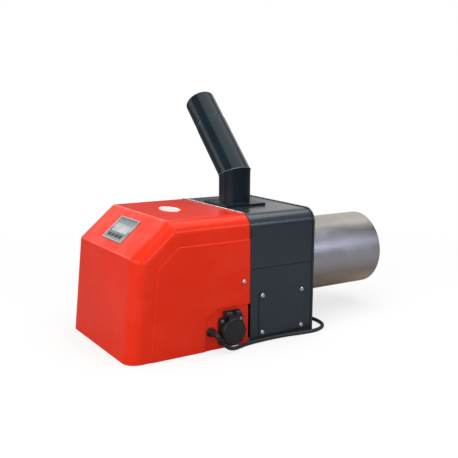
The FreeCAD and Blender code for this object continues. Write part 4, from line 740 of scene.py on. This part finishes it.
def lead_sleeve():
    """A ringed rubber sleeve on the lead, tapering away from the gland."""
    path = lead_start(SLEEVE_LENGTH)
    lengths = [0.0]
    for a, b in zip(path, path[1:]):
        lengths.append(lengths[-1] + (b - a).length)
    stations = SLEEVE_RINGS * SLEEVE_PER_RING + 1
    points = []
    for station in range(stations):
        along = lengths[-1] * station / (stations - 1)
        index = max(i for i, value in enumerate(lengths[:-1]) if value <= along + SLEEVE_SLACK)
        share = (along - lengths[index]) / (lengths[index + 1] - lengths[index])
        centre = path[index].lerp(path[index + 1], share)
        before, after = path[max(index - 1, 0)], path[min(index + 2, len(path) - 1)]
        heading = (after - before).normalized()
        side_way = heading.cross(Vector((0, 1, 0))).normalized()
        other_way = heading.cross(side_way)
        radius = SLEEVE_R[0] + (SLEEVE_R[1] - SLEEVE_R[0]) * station / (stations - 1)
        if station % SLEEVE_PER_RING == SLEEVE_PER_RING // 2:
            radius -= SLEEVE_GROOVE
        for side in range(SLEEVE_SIDES):
            turn = math.tau * side / SLEEVE_SIDES
            around = math.cos(turn) * side_way + math.sin(turn) * other_way
            points.append(centre + radius * around)
    faces = ring_faces(stations, SLEEVE_SIDES, False)
    add_piece("lead_sleeve", points, faces, RUBBER)


oval_plate()
hood_rim()
weld_bead("knee_weld", KNEE_LEAN / 2, KNEE_Z, WELD_HIGHLIGHT)
weld_bead("foot_weld", 0.0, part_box("inlet_flange")[1].z, PIPE)
display_rim()
lead_sleeve()


def make_camera():
    data = bpy.data.cameras.new("camera")
    data.lens = CAMERA_LENS
    data.sensor_width = CAMERA_SENSOR
    data.sensor_fit = "HORIZONTAL"
    data.clip_start, data.clip_end = CAMERA_CLIP
    made = bpy.data.objects.new("camera", data)
    columns = Matrix((CAMERA_RIGHT, CAMERA_UP, CAMERA_BACK)).transposed()
    made.matrix_world = Matrix.Translation(CAMERA_PLACE) @ columns.to_4x4()
    bpy.context.scene.collection.objects.link(made)
    bpy.context.scene.camera = made


def shown_rays(tree, mirrored):
    """1 for rays that see the background itself, and a given share of it for mirror rays."""
    path = tree.nodes.new("ShaderNodeLightPath")
    glossy = math_node(tree, "MULTIPLY", path.outputs["Is Glossy Ray"], mirrored)
    first = math_node(tree, "MAXIMUM", path.outputs["Is Camera Ray"], glossy)
    return math_node(tree, "MAXIMUM", first, path.outputs["Is Transmission Ray"])


def make_floor():
    mesh = bpy.data.meshes.new("floor")
    half = FLOOR_SIZE / 2
    shape = bmesh.new()
    corners = ((-half, -half), (half, -half), (half, half), (-half, half))
    shape.faces.new([shape.verts.new((x, y, FLOOR_Z)) for x, y in corners])
    shape.to_mesh(mesh)
    shape.free()
    floor = bpy.data.objects.new("floor", mesh)
    bpy.context.scene.collection.objects.link(floor)
    made = bpy.data.materials.new("pale_floor")
    made.use_nodes = True
    tree = made.node_tree
    tree.nodes.clear()
    out = tree.nodes.new("ShaderNodeOutputMaterial")
    matt = tree.nodes.new("ShaderNodeBsdfDiffuse")
    path = tree.nodes.new("ShaderNodeLightPath")
    unseen = mix_colour(tree, path.outputs["Is Glossy Ray"], FLOOR_BOUNCE, FLOOR_IN_GLOSS)
    pale = mix_colour(tree, path.outputs["Is Camera Ray"], unseen, FLOOR_COLOUR)
    tree.links.new(pale, matt.inputs["Color"])
    glow = tree.nodes.new("ShaderNodeEmission")
    mix = tree.nodes.new("ShaderNodeMixShader")
    coords = tree.nodes.new("ShaderNodeTexCoord")
    away = tree.nodes.new("ShaderNodeVectorMath")
    away.operation = "LENGTH"
    tree.links.new(coords.outputs["Object"], away.inputs[0])
    fade = remap(tree, away.outputs["Value"], *FLOOR_SHOWN, *FLOOR_FADE)
    white = math_node(tree, "MULTIPLY", shown_rays(tree, MIRRORED_FLOOR), fade)
    tree.links.new(white, mix.inputs["Fac"])
    tree.links.new(matt.outputs["BSDF"], mix.inputs[1])
    tree.links.new(glow.outputs["Emission"], mix.inputs[2])
    tree.links.new(mix.outputs["Shader"], out.inputs["Surface"])
    mesh.materials.append(made)


def make_world():
    world = bpy.data.worlds.new("studio")
    bpy.context.scene.world = world
    world.use_nodes = True
    tree = world.node_tree
    tree.nodes.clear()
    out = tree.nodes.new("ShaderNodeOutputWorld")
    back = tree.nodes.new("ShaderNodeBackground")
    back.inputs["Color"].default_value = (1.0, 1.0, 1.0, 1.0)
    ray = tree.nodes.new("ShaderNodeTexCoord").outputs["Generated"]
    room = remap(tree, height_of(tree, ray), ROOM_LOW, ROOM_HIGH, *ROOM_FADE)
    for way, fade, strength in PALE_WALLS:
        facing = dot_with(tree, ray, Vector(way).normalized())
        room = math_node(tree, "ADD", room, remap(tree, facing, 0.0, strength, *fade))
    path = tree.nodes.new("ShaderNodeLightPath").outputs
    glossy = path["Is Glossy Ray"]
    shown = math_node(tree, "MAXIMUM", path["Is Camera Ray"], path["Is Transmission Ray"])
    around = math_node(tree, "MULTIPLY", math_node(tree, "SUBTRACT", 1.0, glossy), AMBIENT)
    seen = math_node(tree, "ADD", around, math_node(tree, "MULTIPLY", glossy, room))
    tree.links.new(math_node(tree, "MAXIMUM", seen, shown), back.inputs["Strength"])
    tree.links.new(back.outputs["Background"], out.inputs["Surface"])


def soft_light(name, place, target, size, power, colour):
    data = bpy.data.lights.new(name, "AREA")
    data.shape = "RECTANGLE"
    data.size, data.size_y = size
    data.energy = power
    data.color = colour
    made = bpy.data.objects.new(name, data)
    made.location = place
    aim = Vector(target) - Vector(place)
    made.rotation_mode = "QUATERNION"
    made.rotation_quaternion = aim.to_track_quat("-Z", "Y")
    bpy.context.scene.collection.objects.link(made)


make_camera()
make_floor()
make_world()
for lamp in LAMPS:
    soft_light(*lamp)

bpy.context.scene.view_settings.view_transform = "Standard"
